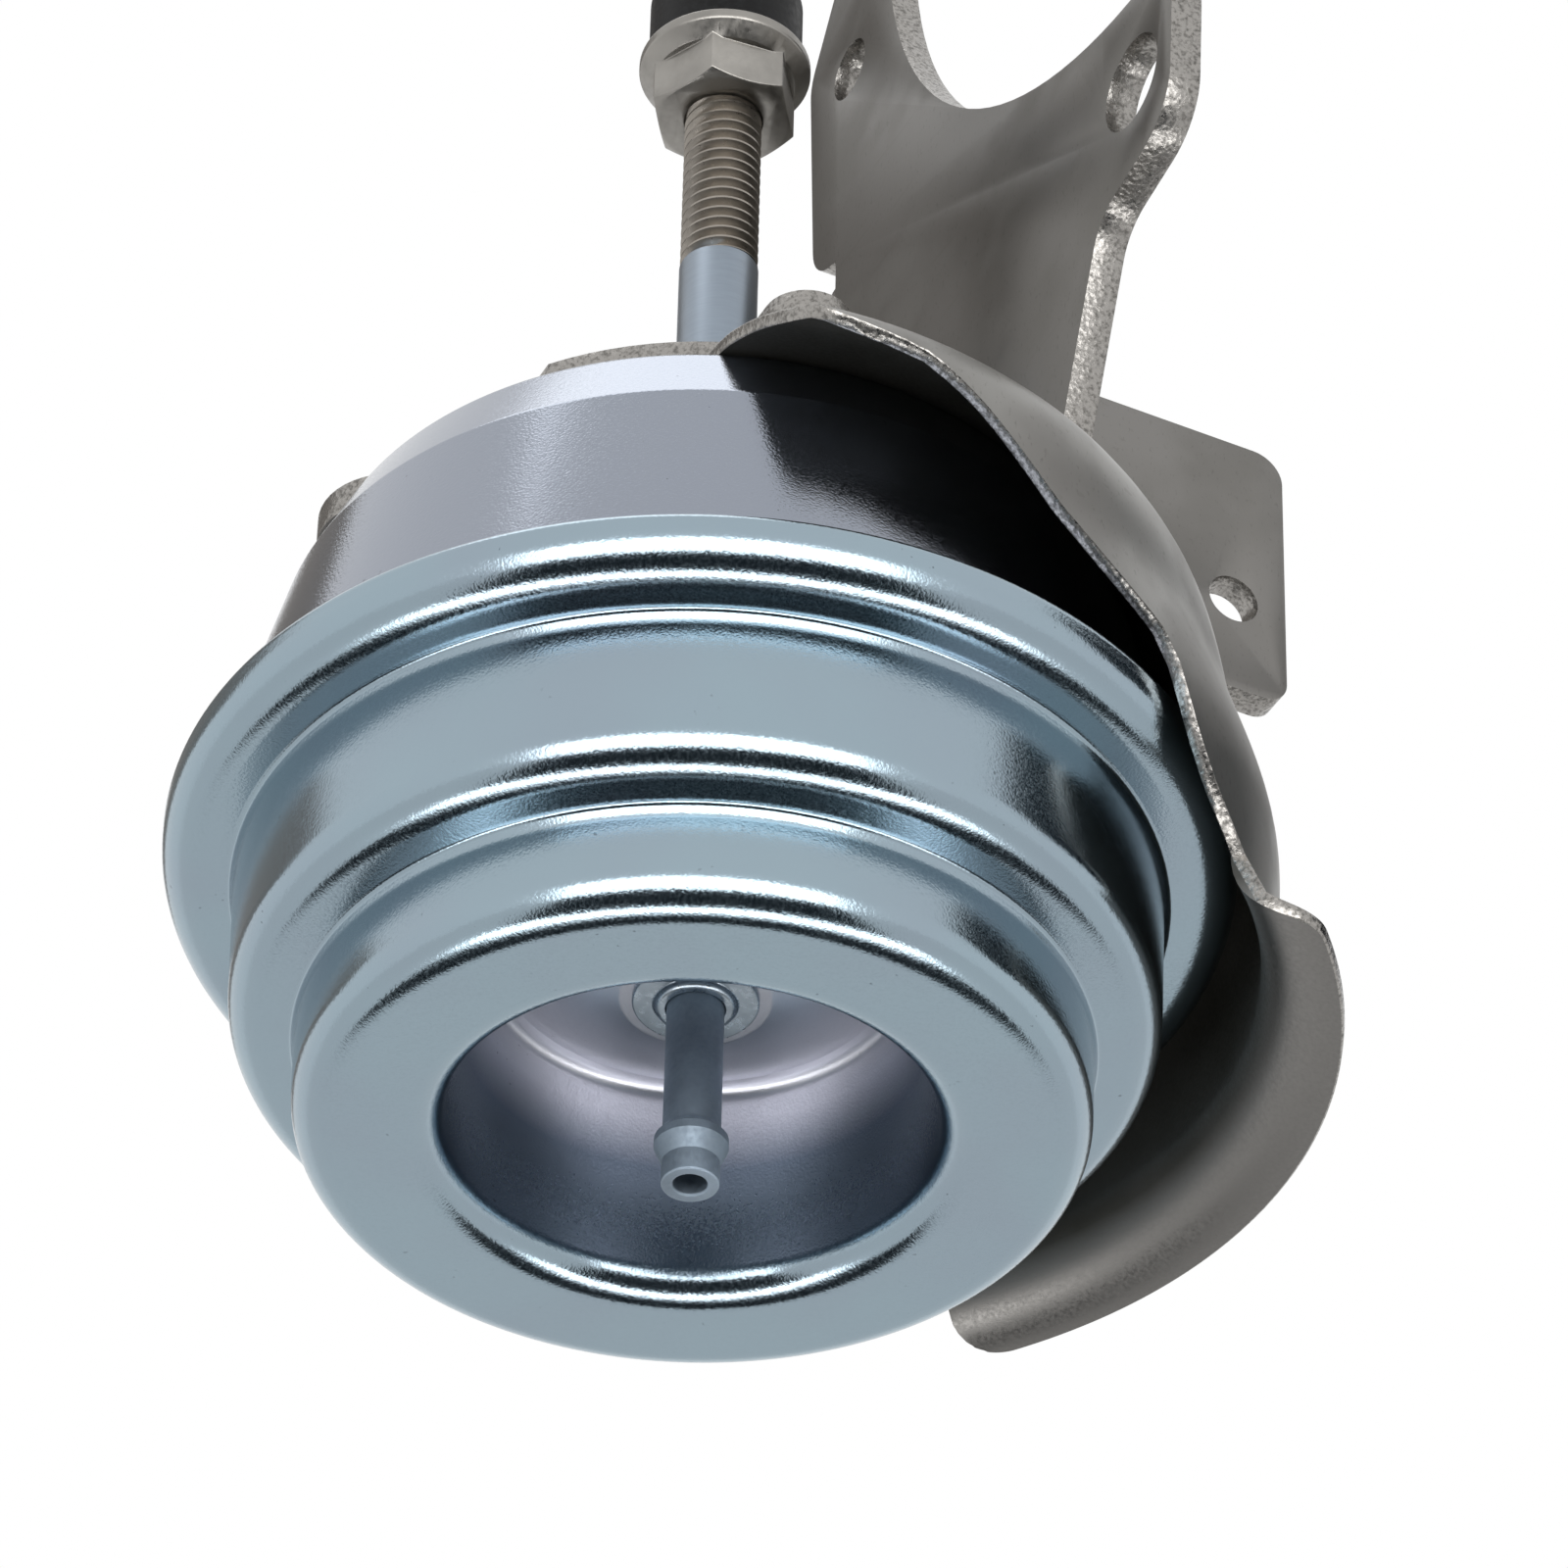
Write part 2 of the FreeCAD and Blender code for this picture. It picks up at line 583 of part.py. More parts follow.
def notch_plate():
    """Upright plate of the bracket, with the round notch that clears the compressor outlet."""
    foot = BRACKET_TOP + BRACKET_BEND_RADIUS
    bend_start = TAB_FACE - BRACKET_BEND_RADIUS
    outline = [
        (PLATE_NEAR_FOOT, foot),
        (bend_start, foot),
        (bend_start, PLATE_STEP[1]),
        PLATE_STEP,
        beside(FAR_HOLE, 7.0, 3.8),
        beside(FAR_HOLE, 0.3, 14.8),
        beside(FAR_HOLE, -7.5, 14.8),
        (NEAR_HOLE[0] - 2.4, FAR_HOLE[1] + 14.8),
        beside(NEAR_HOLE, -2.4, 9.2),
        beside(NEAR_HOLE, -6.4, 7.8),
        beside(NEAR_HOLE, -5.6, -7.2),
        beside(NEAR_HOLE, 5.0, -9.6),
    ]
    radii = [0.0, 0.0, 0.6, 4.2, 5.0, 3.4, 0.0, 0.0, 0.0, NEAR_HORN_RADIUS, 5.4, 4.5]
    plate = Part.Face(rounded_wire(outline, radii, on_plate)).extrude(Vector(BRACKET_SHEET, 0, 0))
    through = PLATE_FACE - 1.0
    for centre, radius in (
        (NOTCH_CENTRE, NOTCH_RADIUS),
        (NEAR_HOLE, NEAR_HOLE_RADIUS),
        (FAR_HOLE, FAR_HOLE_RADIUS),
    ):
        plate = plate.cut(cylinder(radius, (through, centre[0], centre[1]), (1, 0, 0), 10.0))
    return plate


def on_base(point):
    return Vector(point[0], point[1], SHIELD_TOP)


def bracket():
    start = PLATE_FACE - BRACKET_BEND_RADIUS
    bend_start = TAB_FACE - BRACKET_BEND_RADIUS
    lift = Vector(0, 0, BRACKET_SHEET)
    disc = cylinder(BRACKET_DISC_RADIUS, (0, 0, SHIELD_TOP), (0, 0, 1), BRACKET_SHEET)
    flat_side = Part.makeBox(20, 80, 10, Vector(BRACKET_LEFT_EDGE - 20, -40, SHIELD_TOP - 3))
    disc = disc.cut(flat_side)
    apron = [(-5.0, -24.0), (start, PLATE_NEAR_FOOT), (start, bend_start), (-5.0, 24.0)]
    apron = Part.Face(rounded_wire(apron, [0.0] * 4, on_base)).extrude(lift)
    beyond = Part.makeBox(30, 80, 10, Vector(start, -40, SHIELD_TOP - 3))
    lug = cylinder(LUG_RADIUS, (LUG_CENTRE[0], LUG_CENTRE[1], SHIELD_TOP), (0, 0, 1), BRACKET_SHEET)
    arm = Part.makeBox(
        2 * LUG_RADIUS, 10.0, BRACKET_SHEET, Vector(LUG_CENTRE[0] - LUG_RADIUS, LUG_CENTRE[1], SHIELD_TOP)
    )
    ear_place = (LEFT_EAR_CENTRE[0], LEFT_EAR_CENTRE[1], SHIELD_TOP)
    ear = cylinder(LEFT_EAR_RADIUS, ear_place, (0, 0, 1), BRACKET_SHEET)
    base = disc.fuse([apron, lug, arm, ear]).cut(beyond)
    hole = cylinder(CENTRE_HOLE_RADIUS, (0, 0, SHIELD_TOP - 1), (0, 0, 1), 10.0)
    base = cut_rivet_holes(base.cut(hole))
    fold = fold_strip(bend_start - PLATE_NEAR_FOOT)
    fold.translate(Vector(start, PLATE_NEAR_FOOT, BRACKET_TOP + BRACKET_BEND_RADIUS))
    side = side_fold(TAB_TOP - TAB_BOTTOM)
    side.translate(Vector(PLATE_BACK + BRACKET_BEND_RADIUS, bend_start, TAB_BOTTOM))
    return base.fuse([fold, notch_plate(), side, tab()]).removeSplitter()


def quarter_section(place):
    inner = BRACKET_BEND_RADIUS
    outer = BRACKET_BEND_RADIUS + BRACKET_SHEET
    slant = math.sqrt(0.5)
    edges = [
        Part.Arc(place(0, -inner), place(inner * slant, -inner * slant), place(inner, 0)).toShape(),
        Part.LineSegment(place(inner, 0), place(outer, 0)).toShape(),
        Part.Arc(place(outer, 0), place(outer * slant, -outer * slant), place(0, -outer)).toShape(),
        Part.LineSegment(place(0, -outer), place(0, -inner)).toShape(),
    ]
    return Part.Face(Part.Wire(edges))


def fold_strip(width):
    """Quarter bend from the base up into the notch plate."""
    face = quarter_section(lambda along, up: Vector(along, 0, up))
    return face.extrude(Vector(0, width, 0))


def side_fold(height):
    """Quarter bend from the notch plate round into the tab."""
    face = quarter_section(lambda along, up: Vector(up, along, 0))
    return face.extrude(Vector(0, 0, height))


def on_tab(point):
    return Vector(point[0], TAB_FACE, point[1])


def tab():
    start = PLATE_BACK + BRACKET_BEND_RADIUS
    outline = [(start, TAB_BOTTOM), (TAB_REACH, TAB_BOTTOM), (TAB_REACH, TAB_TOP), (start, TAB_TOP)]
    radii = [0.0, TAB_CORNER * 0.8, TAB_CORNER, 0.0]
    plate = Part.Face(rounded_wire(outline, radii, on_tab)).extrude(Vector(0, BRACKET_SHEET, 0))
    hole = cylinder(TAB_HOLE_RADIUS, (TAB_HOLE[0], TAB_FACE - 1, TAB_HOLE[1]), (0, 1, 0), 10.0)
    return plate.cut(hole)


def lock_nut():
    flange_low = NUT_TOP - NUT_FLANGE_HEIGHT
    hex_low = flange_low - NUT_HEX_HEIGHT
    corner = NUT_ACROSS_FLATS / math.sqrt(3.0)
    corners = []
    for i in range(7):
        angle = math.radians(60.0 * i + NUT_TURN)
        corners.append(Vector(corner * math.cos(angle), corner * math.sin(angle), hex_low))
    hexagon = Part.Face(Part.makePolygon(corners)).extrude(Vector(0, 0, NUT_HEX_HEIGHT + 0.5))
    chamfer = revolved(
        [(0.0, hex_low), (corner - 0.9, hex_low), (corner + 0.1, hex_low + 0.6), (corner + 0.1, NUT_TOP), (0.0, NUT_TOP)],
        [0.0] * 5,
    )
    flange = revolved(
        [
            (0.0, flange_low - 0.6),
            (corner - 0.3, flange_low - 0.6),
            (NUT_FLANGE_RADIUS, flange_low + 0.5),
            (NUT_FLANGE_RADIUS, NUT_TOP),
            (0.0, NUT_TOP),
        ],
        [0.0, 0.0, 0.35, 0.35, 0.0],
    )
    bore = cylinder(ROD_RADIUS, (0, 0, hex_low - 1), (0, 0, 1), 20.0)
    return hexagon.common(chamfer).fuse(flange).cut(bore).removeSplitter()


def rod_end():
    neck = revolved(
        [
            (0.0, NUT_TOP),
            (ROD_END_NECK_RADIUS, NUT_TOP),
            (ROD_END_NECK_RADIUS, NUT_TOP + ROD_END_NECK_HEIGHT),
            (ROD_END_WAIST_RADIUS, NUT_TOP + ROD_END_WAIST_START),
            (ROD_END_WAIST_RADIUS, EYE_HEIGHT),
            (0.0, EYE_HEIGHT),
        ],
        [0.0, 0.6, 1.5, 2.0, 0.0, 0.0],
    )
    half = EYE_WIDTH / 2.0
    ring = cylinder(EYE_RING_RADIUS, (-half, 0, EYE_HEIGHT), (1, 0, 0), EYE_WIDTH)
    ring = ring.makeFillet(0.8, [edge for edge in ring.Edges if edge.BoundBox.XLength < 0.1])
    seat = cylinder(EYE_SEAT_RADIUS, (-half - 5, 0, EYE_HEIGHT), (1, 0, 0), EYE_WIDTH + 10)
    bore = cylinder(ROD_RADIUS, (0, 0, NUT_TOP - 1), (0, 0, 1), ROD_TOP + 0.4 - NUT_TOP + 1)
    return neck.fuse(ring).cut(seat).cut(bore).removeSplitter()


def rod_end_bush():
    half = EYE_BUSH_WIDTH / 2.0
    outer = cylinder(EYE_SEAT_RADIUS - 0.05, (-half, 0, EYE_HEIGHT), (1, 0, 0), EYE_BUSH_WIDTH)
    outer = outer.makeChamfer(0.4, [edge for edge in outer.Edges if edge.BoundBox.XLength < 0.1])
    return outer.cut(cylinder(EYE_BORE_RADIUS, (-half - 1, 0, EYE_HEIGHT), (1, 0, 0), EYE_BUSH_WIDTH + 2))


save("lower_can", lower_can())
save("upper_can", upper_can())
save("vacuum_nipple", vacuum_nipple())
save("nipple_collar", nipple_collar())
save("push_rod", push_rod())
save("piston_plate", piston_plate())
save("piston_cup", piston_cup())
save("piston_washer", piston_washer())
save("diaphragm", diaphragm())
save("return_spring", return_spring())
save("rod_guide_bush", rod_guide_bush())
save("guide_cap", guide_cap())
save("rod_seal", rod_seal())
save("heat_shield", heat_shield())
save("bracket", bracket())
save("lock_nut", lock_nut())
save("rod_end", rod_end())
save("rod_end_bush", rod_end_bush())
for number, (rivet_x, rivet_y) in enumerate(rivet_places(), start=1):
    save("bracket_rivet_" + str(number), rivet(rivet_x, rivet_y))
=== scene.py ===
import math

import bmesh
import bpy
from bpy.props import FloatProperty, FloatVectorProperty, IntProperty, PointerProperty
from mathutils import Matrix, Vector


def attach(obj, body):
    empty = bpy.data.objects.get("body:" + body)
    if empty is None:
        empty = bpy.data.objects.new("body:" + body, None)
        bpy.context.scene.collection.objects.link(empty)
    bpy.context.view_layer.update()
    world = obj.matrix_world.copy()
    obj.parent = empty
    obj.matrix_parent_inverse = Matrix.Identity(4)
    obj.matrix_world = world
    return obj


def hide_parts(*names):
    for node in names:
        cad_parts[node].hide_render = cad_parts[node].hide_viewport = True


bl_info = {
    "name": "Vacuum wastegate actuator",
    "version": (1, 0, 0),
    "blender": (4, 5, 0),
    "location": "View3D > Sidebar > Actuator",
    "description": "Finishes, thread, heat shield, light and camera of a vacuum wastegate actuator",
    "category": "Object",
}

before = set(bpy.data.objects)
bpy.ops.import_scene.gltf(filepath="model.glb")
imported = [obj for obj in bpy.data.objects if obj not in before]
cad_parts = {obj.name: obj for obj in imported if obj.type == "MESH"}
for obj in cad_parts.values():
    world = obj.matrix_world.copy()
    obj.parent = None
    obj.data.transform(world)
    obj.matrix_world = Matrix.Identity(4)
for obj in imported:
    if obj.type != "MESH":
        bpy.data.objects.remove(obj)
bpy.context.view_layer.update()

MM = 0.001
# Height in millimetres of the seam between the two cans above the frame's origin
SEAM = 23.575
# Height over the seam of the heat shield's flat, on which the bracket lies
SHIELD_TOP = 25.85

# Outside of the two cans in millimetres: radius, height over the seam and rounding of each corner
LOWER_CAN = (
    (36.1, 1.8, 0.0),
    (38.23, 1.8, 1.0),
    (38.23, -2.95, 3.0),
    (33.3, -2.95, 0.45),
    (33.0, -3.75, 1.6),
    (32.75, -15.2, 2.8),
    (28.25, -15.8, 0.45),
    (27.98, -16.6, 1.5),
    (27.9, -23.9, 2.75),
    (17.6, -23.9, 2.6),
    (15.5, -7.6, 1.0),
    (14.1, -7.6, 0.3),
    (5.4, -11.0, 0.6),
    (2.15, -11.0, 0.0),
)
UPPER_CAN = (
    (36.5, 0.9, 0.0),
    (35.8, 0.9, 0.3),
    (31.1, 18.8, 1.4),
    (28.2, 24.85, 1.0),
    (5.1, 24.85, 0.0),
)
CAN_SHEET = 0.9
CAN_COLUMNS = 240
# Degrees between the points of a bend, and the straight piece kept in line with it on both sides
BEND_STEP = 6.5
BEND_LEAD = 0.08
BEND_GAP = 0.1

# Heat shield, rings of its outside surface as height over the seam, shift along X and radius
SHIELD_RINGS = (
    (SHIELD_TOP, 0.0, 22.0),
    (SHIELD_TOP, 0.0, 28.2),
    (25.0, -1.1, 30.7),
    (22.3, -3.4, 35.6),
    (21.0, -3.6, 37.8),
    (19.4, -3.2, 38.6),
    (10.0, 0.0, 38.55),
    (1.0, 3.1, 38.5),
    (-3.0, 3.1, 38.4),
    (-7.7, 2.7, 38.4),
)
SHIELD_FLARE = 4.8
SHIELD_SHEET = 1.0
SHIELD_HOLE = 9.0
# Fineness of the shield's mesh: rings of its profile and rows of its skin, in millimetres or counts
RING_GAP = 0.7
RINGS_PER_SPAN = 12
FLARE_STEPS = 12
SHIELD_ROWS = 64
EDGE_BREAK = 0.13
# Trimmed edge of the heat shield on the near side, as X and height over the seam
SHIELD_EDGE = (
    (-12.0, 25.5),
    (-10.7, 22.2),
    (-8.6, 20.0),
    (-2.4, 18.8),
    (2.6, 15.3),
    (6.7, 12.1),
    (9.2, 10.0),
    (13.0, 7.6),
    (15.5, 6.2),
    (19.0, 4.4),
    (20.0, 2.2),
    (21.2, -0.9),
    (22.5, -3.1),
    (24.2, -5.3),
    (26.1, -6.6),
    (28.3, -7.7),
)
EDGE_SHIFT_FAR = 4.6
LIP_NEAR = math.radians(-48.8)
LIP_FAR = math.radians(38.9)
LIP_CORNER = 3.5
# Degrees between the columns of the shield, and closer ones from just outside each corner of the lip
COLUMN_STEP = 1.25
CORNER_START = -0.05
CORNER_STEP = 0.22
CORNER_COLUMNS = 27

# Bracket: height of the base with its fold over the shield, X where that fold starts, X where the
# tab is flat again after its own fold, Y where the tab's fold starts, and top of the tab over the seam
BASE_FOLD = 3.9
BASE_END = 15.7
TAB_START = 20.9
TAB_FOLD = 14.4
TAB_TOP = 75.2

# Riveted tail of the push rod and its plain part, as radius and height over the seam
ROD_TAIL = (
    (0.0, 13.1),
    (3.2, 13.1),
    (3.65, 13.35),
    (3.8, 13.9),
    (3.8, 14.2),
    (2.2, 14.2),
    (2.2, 18.2),
    (3.0, 18.2),
)
ROD_RADIUS = 3.0
ROD_TOP = SEAM + 91.0
# The plain rod narrows to the thread's core here, and the thread starts a little below, inside it
THREAD_START = SEAM + 58.0
THREAD_CREST = 2.95
CORE_RADIUS = 2.3
# One turn of the thread, as share of the pitch and share of the depth above the root
THREAD_PROFILE = (
    (0.0, 1.0),
    (0.09, 1.0),
    (0.18, 0.72),
    (0.32, 0.32),
    (0.44, 0.0),
    (0.56, 0.0),
    (0.68, 0.32),
    (0.82, 0.72),
    (0.91, 1.0),
)

# Camera at the photograph's viewing angle, in millimetres and degrees
LENS = 193.56
CAMERA_PLACE = (-203.04, -426.39, SEAM - 370.09)
CAMERA_TURN = (128.7395, -1.0581, -27.0206)
FLOOR_HALF_WIDTH = 4.0


def linear(code):
    """Linear colour of an sRGB hex value."""
    values = []
    for i in (1, 3, 5):
        value = int(code[i:i + 2], 16) / 255.0
        values.append(value / 12.92 if value <= 0.04045 else ((value + 0.055) / 1.055) ** 2.4)
    return (values[0], values[1], values[2], 1.0)


def per_mm(size):
    """Texture scale that makes one feature as large as the size in millimetres."""
    return 1.0 / (size * MM)


def colour_property(name, description, code):
    """Colour setting whose default is an sRGB hex value."""
    return FloatVectorProperty(
        name=name, description=description, default=linear(code), size=4, subtype="COLOR", min=0.0, max=1.0
    )


def satin_property(name, description, value):
    """Roughness setting between a mirror and matt."""
    return FloatProperty(
        name=name, description=description, default=value, min=0.0, max=1.0, subtype="FACTOR"
    )


class CanProperties(bpy.types.PropertyGroup):
    blue: colour_property("Blue zinc", "Main tint of the zinc plating on the lower can", "#98aab4")
    grey: colour_property("Grey zinc", "Tint where the plating is thinner", "#97a6b1")
    # Painted reflection: the upper can has the same plating as the lower one, and its different tint stands
    # in for the differently coloured surroundings that it mirrors
    lilac_painted_reflection: colour_property("Lilac zinc", "Tint of the plating on the upper can", "#9298a3")
    # Painted light: a lighter tint on the floor of the recess round the nipple. Painted shade: a darker tint
    # on the wall of the recess
    recess_floor_painted_light: colour_property("Recess floor", "Tint of the plating round the nipple", "#cbccd4")
    recess_wall_painted_shade: colour_property("Recess wall", "Tint of the plating on the wall of the recess", "#7c8795")
    roughness: satin_property("Can roughness", "Satin of the plated cans", 0.18)


class SheetProperties(bpy.types.PropertyGroup):
    grey: colour_property("Sheet grey", "Warm grey of the rolled stainless sheet", "#7f7d7a")
    shade: colour_property("Sheet shade", "Darker patches of the rolled sheet", "#75736f")
    edge: colour_property("Sheared edge", "Bright metal of the cut edges", "#9e9b97")
    pit: colour_property("Torn edge", "Dark torn part of the cut edges", "#504e4a")
    shield: colour_property("Shield grey", "Lighter grey of the thin sheet of the heat shield", "#92918e")
    # Painted shade: dark grey inside of the heat shield beside the can
    inside: colour_property("Shield inside", "Dull inside of the heat shield", "#4a4945")
    roughness: satin_property("Sheet roughness", "Satin of the rolled sheet", 0.4)


class RodProperties(bpy.types.PropertyGroup):
    pitch: FloatProperty(
        name="Thread pitch",
        description="Distance from crest to crest",
        default=1.0 * MM,
        min=0.2 * MM,
        unit="LENGTH",
    )
    thread_depth: FloatProperty(
        name="Thread depth", description="From crest to root", default=0.6 * MM, min=0.1 * MM, unit="LENGTH"
    )
    steps: IntProperty(
        name="Steps per turn", description="Columns of mesh round the thread", default=72, min=24, max=144
    )
    plain: colour_property("Plain rod", "Blue grey of the plain part of the rod", "#8f9aa6")
    thread: colour_property("Thread", "Warm grey of the bare thread", "#a19b93")
    nut: colour_property("Nut", "Warm grey of the lock nut", "#9d9a95")


class StageProperties(bpy.types.PropertyGroup):
    ambient: FloatProperty(
        name="Ambient",
        description="Strength of the surroundings on matt surfaces",
        default=0.55,
        min=0.0,
        max=2.0,
    )
    softbox: FloatProperty(
        name="Softbox brightness", description="Radiance of the softboxes", default=3.2, min=0.0, max=20.0
    )
    card: colour_property("Dark card", "Grey of the cards that the metal mirrors", "#20262a")
    grey_card: colour_property("Grey card", "Grey of the card behind the object", "#8b8783")
    floor_height: FloatProperty(
        name="Floor height", description="Height of the floor in the frame", default=-0.9, unit="LENGTH"
    )


def add(tree, kind, settings=None, links=None):
    """Adds one node. Keys are names or numbers of sockets, or plain attributes of the node."""
    node = tree.nodes.new(kind)
    for key, value in (settings or {}).items():
        if isinstance(key, int) or key in node.inputs:
            node.inputs[key].default_value = value
        else:
            setattr(node, key, value)
    for key, source in (links or {}).items():
        if isinstance(source, bpy.types.Node):
            source = next(socket for socket in source.outputs if socket.enabled)
        tree.links.new(source, node.inputs[key])
    return node


def new_surface(name, colour, metallic, roughness):
    """Material with one principled shader, and the coordinates that its patterns are laid out in."""
    material = bpy.data.materials.new(name)
    material.use_nodes = True
    tree = material.node_tree
    tree.nodes.clear()
    shader = add(
        tree, "ShaderNodeBsdfPrincipled", {"Base Color": colour, "Metallic": metallic, "Roughness": roughness}
    )
    add(tree, "ShaderNodeOutputMaterial", links={"Surface": shader})
    place = add(tree, "ShaderNodeTexCoord").outputs["Object"]
    return material, tree, shader, place


def satin_zinc(name, colour, second, roughness, zones):
    """Zinc plating on drawn sheet. The blue passivation gives a soft mirror with a pearly tint; fine
    peel in the plating breaks its highlights into sparkle, and a few specks are stuck in it."""
    material, tree, shader, place = new_surface(name, colour, 1.0, roughness)
    cloud = add(tree, "ShaderNodeTexNoise", {"Scale": per_mm(14.0), "Detail": 2.0}, {"Vector": place})
    cloud = add(tree, "ShaderNodeMapRange", {"From Min": 0.4, "From Max": 0.7}, {"Value": cloud})
    tint = add(tree, "ShaderNodeMix", {"data_type": "RGBA", 6: colour, 7: second}, {0: cloud})
    tint, recess = zones(tree, place, tint)
    # Specks are 0.5 mm, gathered in patches of some 6 mm
    speck = add(tree, "ShaderNodeTexNoise", {"Scale": per_mm(0.5), "Detail": 1.0}, {"Vector": place})
    speck = add(tree, "ShaderNodeMapRange", {"From Min": 0.74, "From Max": 0.78}, {"Value": speck})
    patch = add(tree, "ShaderNodeTexNoise", {"Scale": per_mm(6.0), "Detail": 1.0}, {"Vector": place})
    patch = add(
        tree, "ShaderNodeMapRange", {"From Min": 0.56, "From Max": 0.64, "To Max": 0.5}, {"Value": patch}
    )
    speck = add(tree, "ShaderNodeMath", {"operation": "MULTIPLY"}, {0: speck, 1: patch})
    tint = add(tree, "ShaderNodeMix", {"data_type": "RGBA", 7: linear("#4c5459")}, {0: speck, 6: tint})
    tree.links.new(tint.outputs[2], shader.inputs["Base Color"])
    # The real peel is finer than 0.1 mm; it is drawn at 0.2 mm so that it shows
    peel = add(tree, "ShaderNodeTexNoise", {"Scale": per_mm(0.2), "Detail": 1.0}, {"Vector": place})
    satin = add(
        tree,
        "ShaderNodeMapRange",
        {"From Min": 0.3, "From Max": 0.7, "To Min": roughness - 0.05, "To Max": roughness + 0.05},
        {"Value": peel},
    )
    if recess:
        # The plating is duller in the recess, where less current reached it
        satin = add(tree, "ShaderNodeMath", {"operation": "MULTIPLY_ADD", 1: 0.2}, {0: recess, 2: satin})
    tree.links.new(satin.outputs[0], shader.inputs["Roughness"])
    relief = add(tree, "ShaderNodeBump", {"Strength": 0.5, "Distance": 0.025 * MM}, {"Height": peel})
    tree.links.new(relief.outputs[0], shader.inputs["Normal"])
    return material


def lower_can_zones(look):
    """Lilac floor and blue-grey wall of the recess round the nipple. The lighter tint of the floor is painted
    light, and the darker tint of the wall is painted shade.
    The tint comes with a mask of the recess."""

    def zones(tree, place, tint):
        across = add(tree, "ShaderNodeSeparateXYZ", links={0: place})
        flat = add(tree, "ShaderNodeCombineXYZ", links={"X": across.outputs["X"], "Y": across.outputs["Y"]})
        radius = add(tree, "ShaderNodeVectorMath", {"operation": "LENGTH"}, {0: flat}).outputs["Value"]
        inside = add(
            tree, "ShaderNodeMapRange", {"From Min": 17.5 * MM, "From Max": 16.2 * MM}, {"Value": radius}
        )
        # Painted shade: darker tint on the wall of the recess
        wall = add(
            tree, "ShaderNodeMix", {"data_type": "RGBA", 7: look.recess_wall_painted_shade}, {0: inside, 6: tint.outputs[2]}
        )
        # The pressed floor lies 8 to 11 mm below the seam, the wall of the recess comes down to 24 mm
        deep = add(
            tree,
            "ShaderNodeMapRange",
            {"From Min": (SEAM - 14.0) * MM, "From Max": (SEAM - 10.0) * MM},
            {"Value": across.outputs["Z"]},
        )
        deep = add(tree, "ShaderNodeMath", {"operation": "MULTIPLY"}, {0: deep, 1: inside})
        # Painted light: lighter tint on the floor of the recess
        tint = add(
            tree, "ShaderNodeMix", {"data_type": "RGBA", 7: look.recess_floor_painted_light}, {0: deep, 6: wall.outputs[2]}
        )
        return tint.outputs[2], inside.outputs[0]

    return zones


def plain_zones(tree, place, tint):
    """The upper can has one tint and satin all over."""
    return tint.outputs[2], None


def rolled_sheet(name, look, grey, shade):
    """Cold-rolled stainless sheet, tumbled after stamping: a warm grey satin with faint clouds, a fine
    pitted grain and a few dark scratches."""
    material, tree, shader, place = new_surface(name, grey, 1.0, look.roughness)
    cloud = add(tree, "ShaderNodeTexNoise", {"Scale": per_mm(11.0), "Detail": 3.0}, {"Vector": place})
    cloud = add(tree, "ShaderNodeMapRange", {"From Min": 0.35, "From Max": 0.7}, {"Value": cloud})
    tint = add(tree, "ShaderNodeMix", {"data_type": "RGBA", 6: grey, 7: shade}, {0: cloud})
    # Pits of 0.3 mm, drawn out along the rolling direction, which is the can's axis
    drawn = add(tree, "ShaderNodeMapping", {"Scale": (1.0, 1.0, 0.45)}, {"Vector": place})
    grain = add(tree, "ShaderNodeTexNoise", {"Scale": per_mm(0.28), "Detail": 2.0}, {"Vector": drawn})
    fleck = add(
        tree, "ShaderNodeMapRange", {"From Min": 0.62, "From Max": 0.74, "To Max": 0.3}, {"Value": grain}
    )
    tint = add(tree, "ShaderNodeMix", {"data_type": "RGBA", 7: look.pit}, {0: fleck, 6: tint.outputs[2]})
    # Scratches are 0.7 mm wide and some 12 mm long
    streak = add(
        tree,
        "ShaderNodeMapping",
        {"Scale": (1.0, 0.06, 1.0), "Rotation": (0.5, 0.0, 0.35)},
        {"Vector": place},
    )
    streak = add(tree, "ShaderNodeTexNoise", {"Scale": per_mm(0.7), "Detail": 0.0}, {"Vector": streak})
    streak = add(
        tree, "ShaderNodeMapRange", {"From Min": 0.76, "From Max": 0.8, "To Max": 0.35}, {"Value": streak}
    )
    tint = add(tree, "ShaderNodeMix", {"data_type": "RGBA", 7: look.shade}, {0: streak, 6: tint.outputs[2]})
    tree.links.new(tint.outputs[2], shader.inputs["Base Color"])
    satin = add(
        tree,
        "ShaderNodeMapRange",
        {"From Min": 0.3, "From Max": 0.7, "To Min": look.roughness - 0.05, "To Max": look.roughness + 0.05},
        {"Value": cloud},
    )
    tree.links.new(satin.outputs[0], shader.inputs["Roughness"])
    relief = add(tree, "ShaderNodeBump", {"Strength": 0.22, "Distance": 0.02 * MM}, {"Height": grain})
    tree.links.new(relief.outputs[0], shader.inputs["Normal"])
    return material


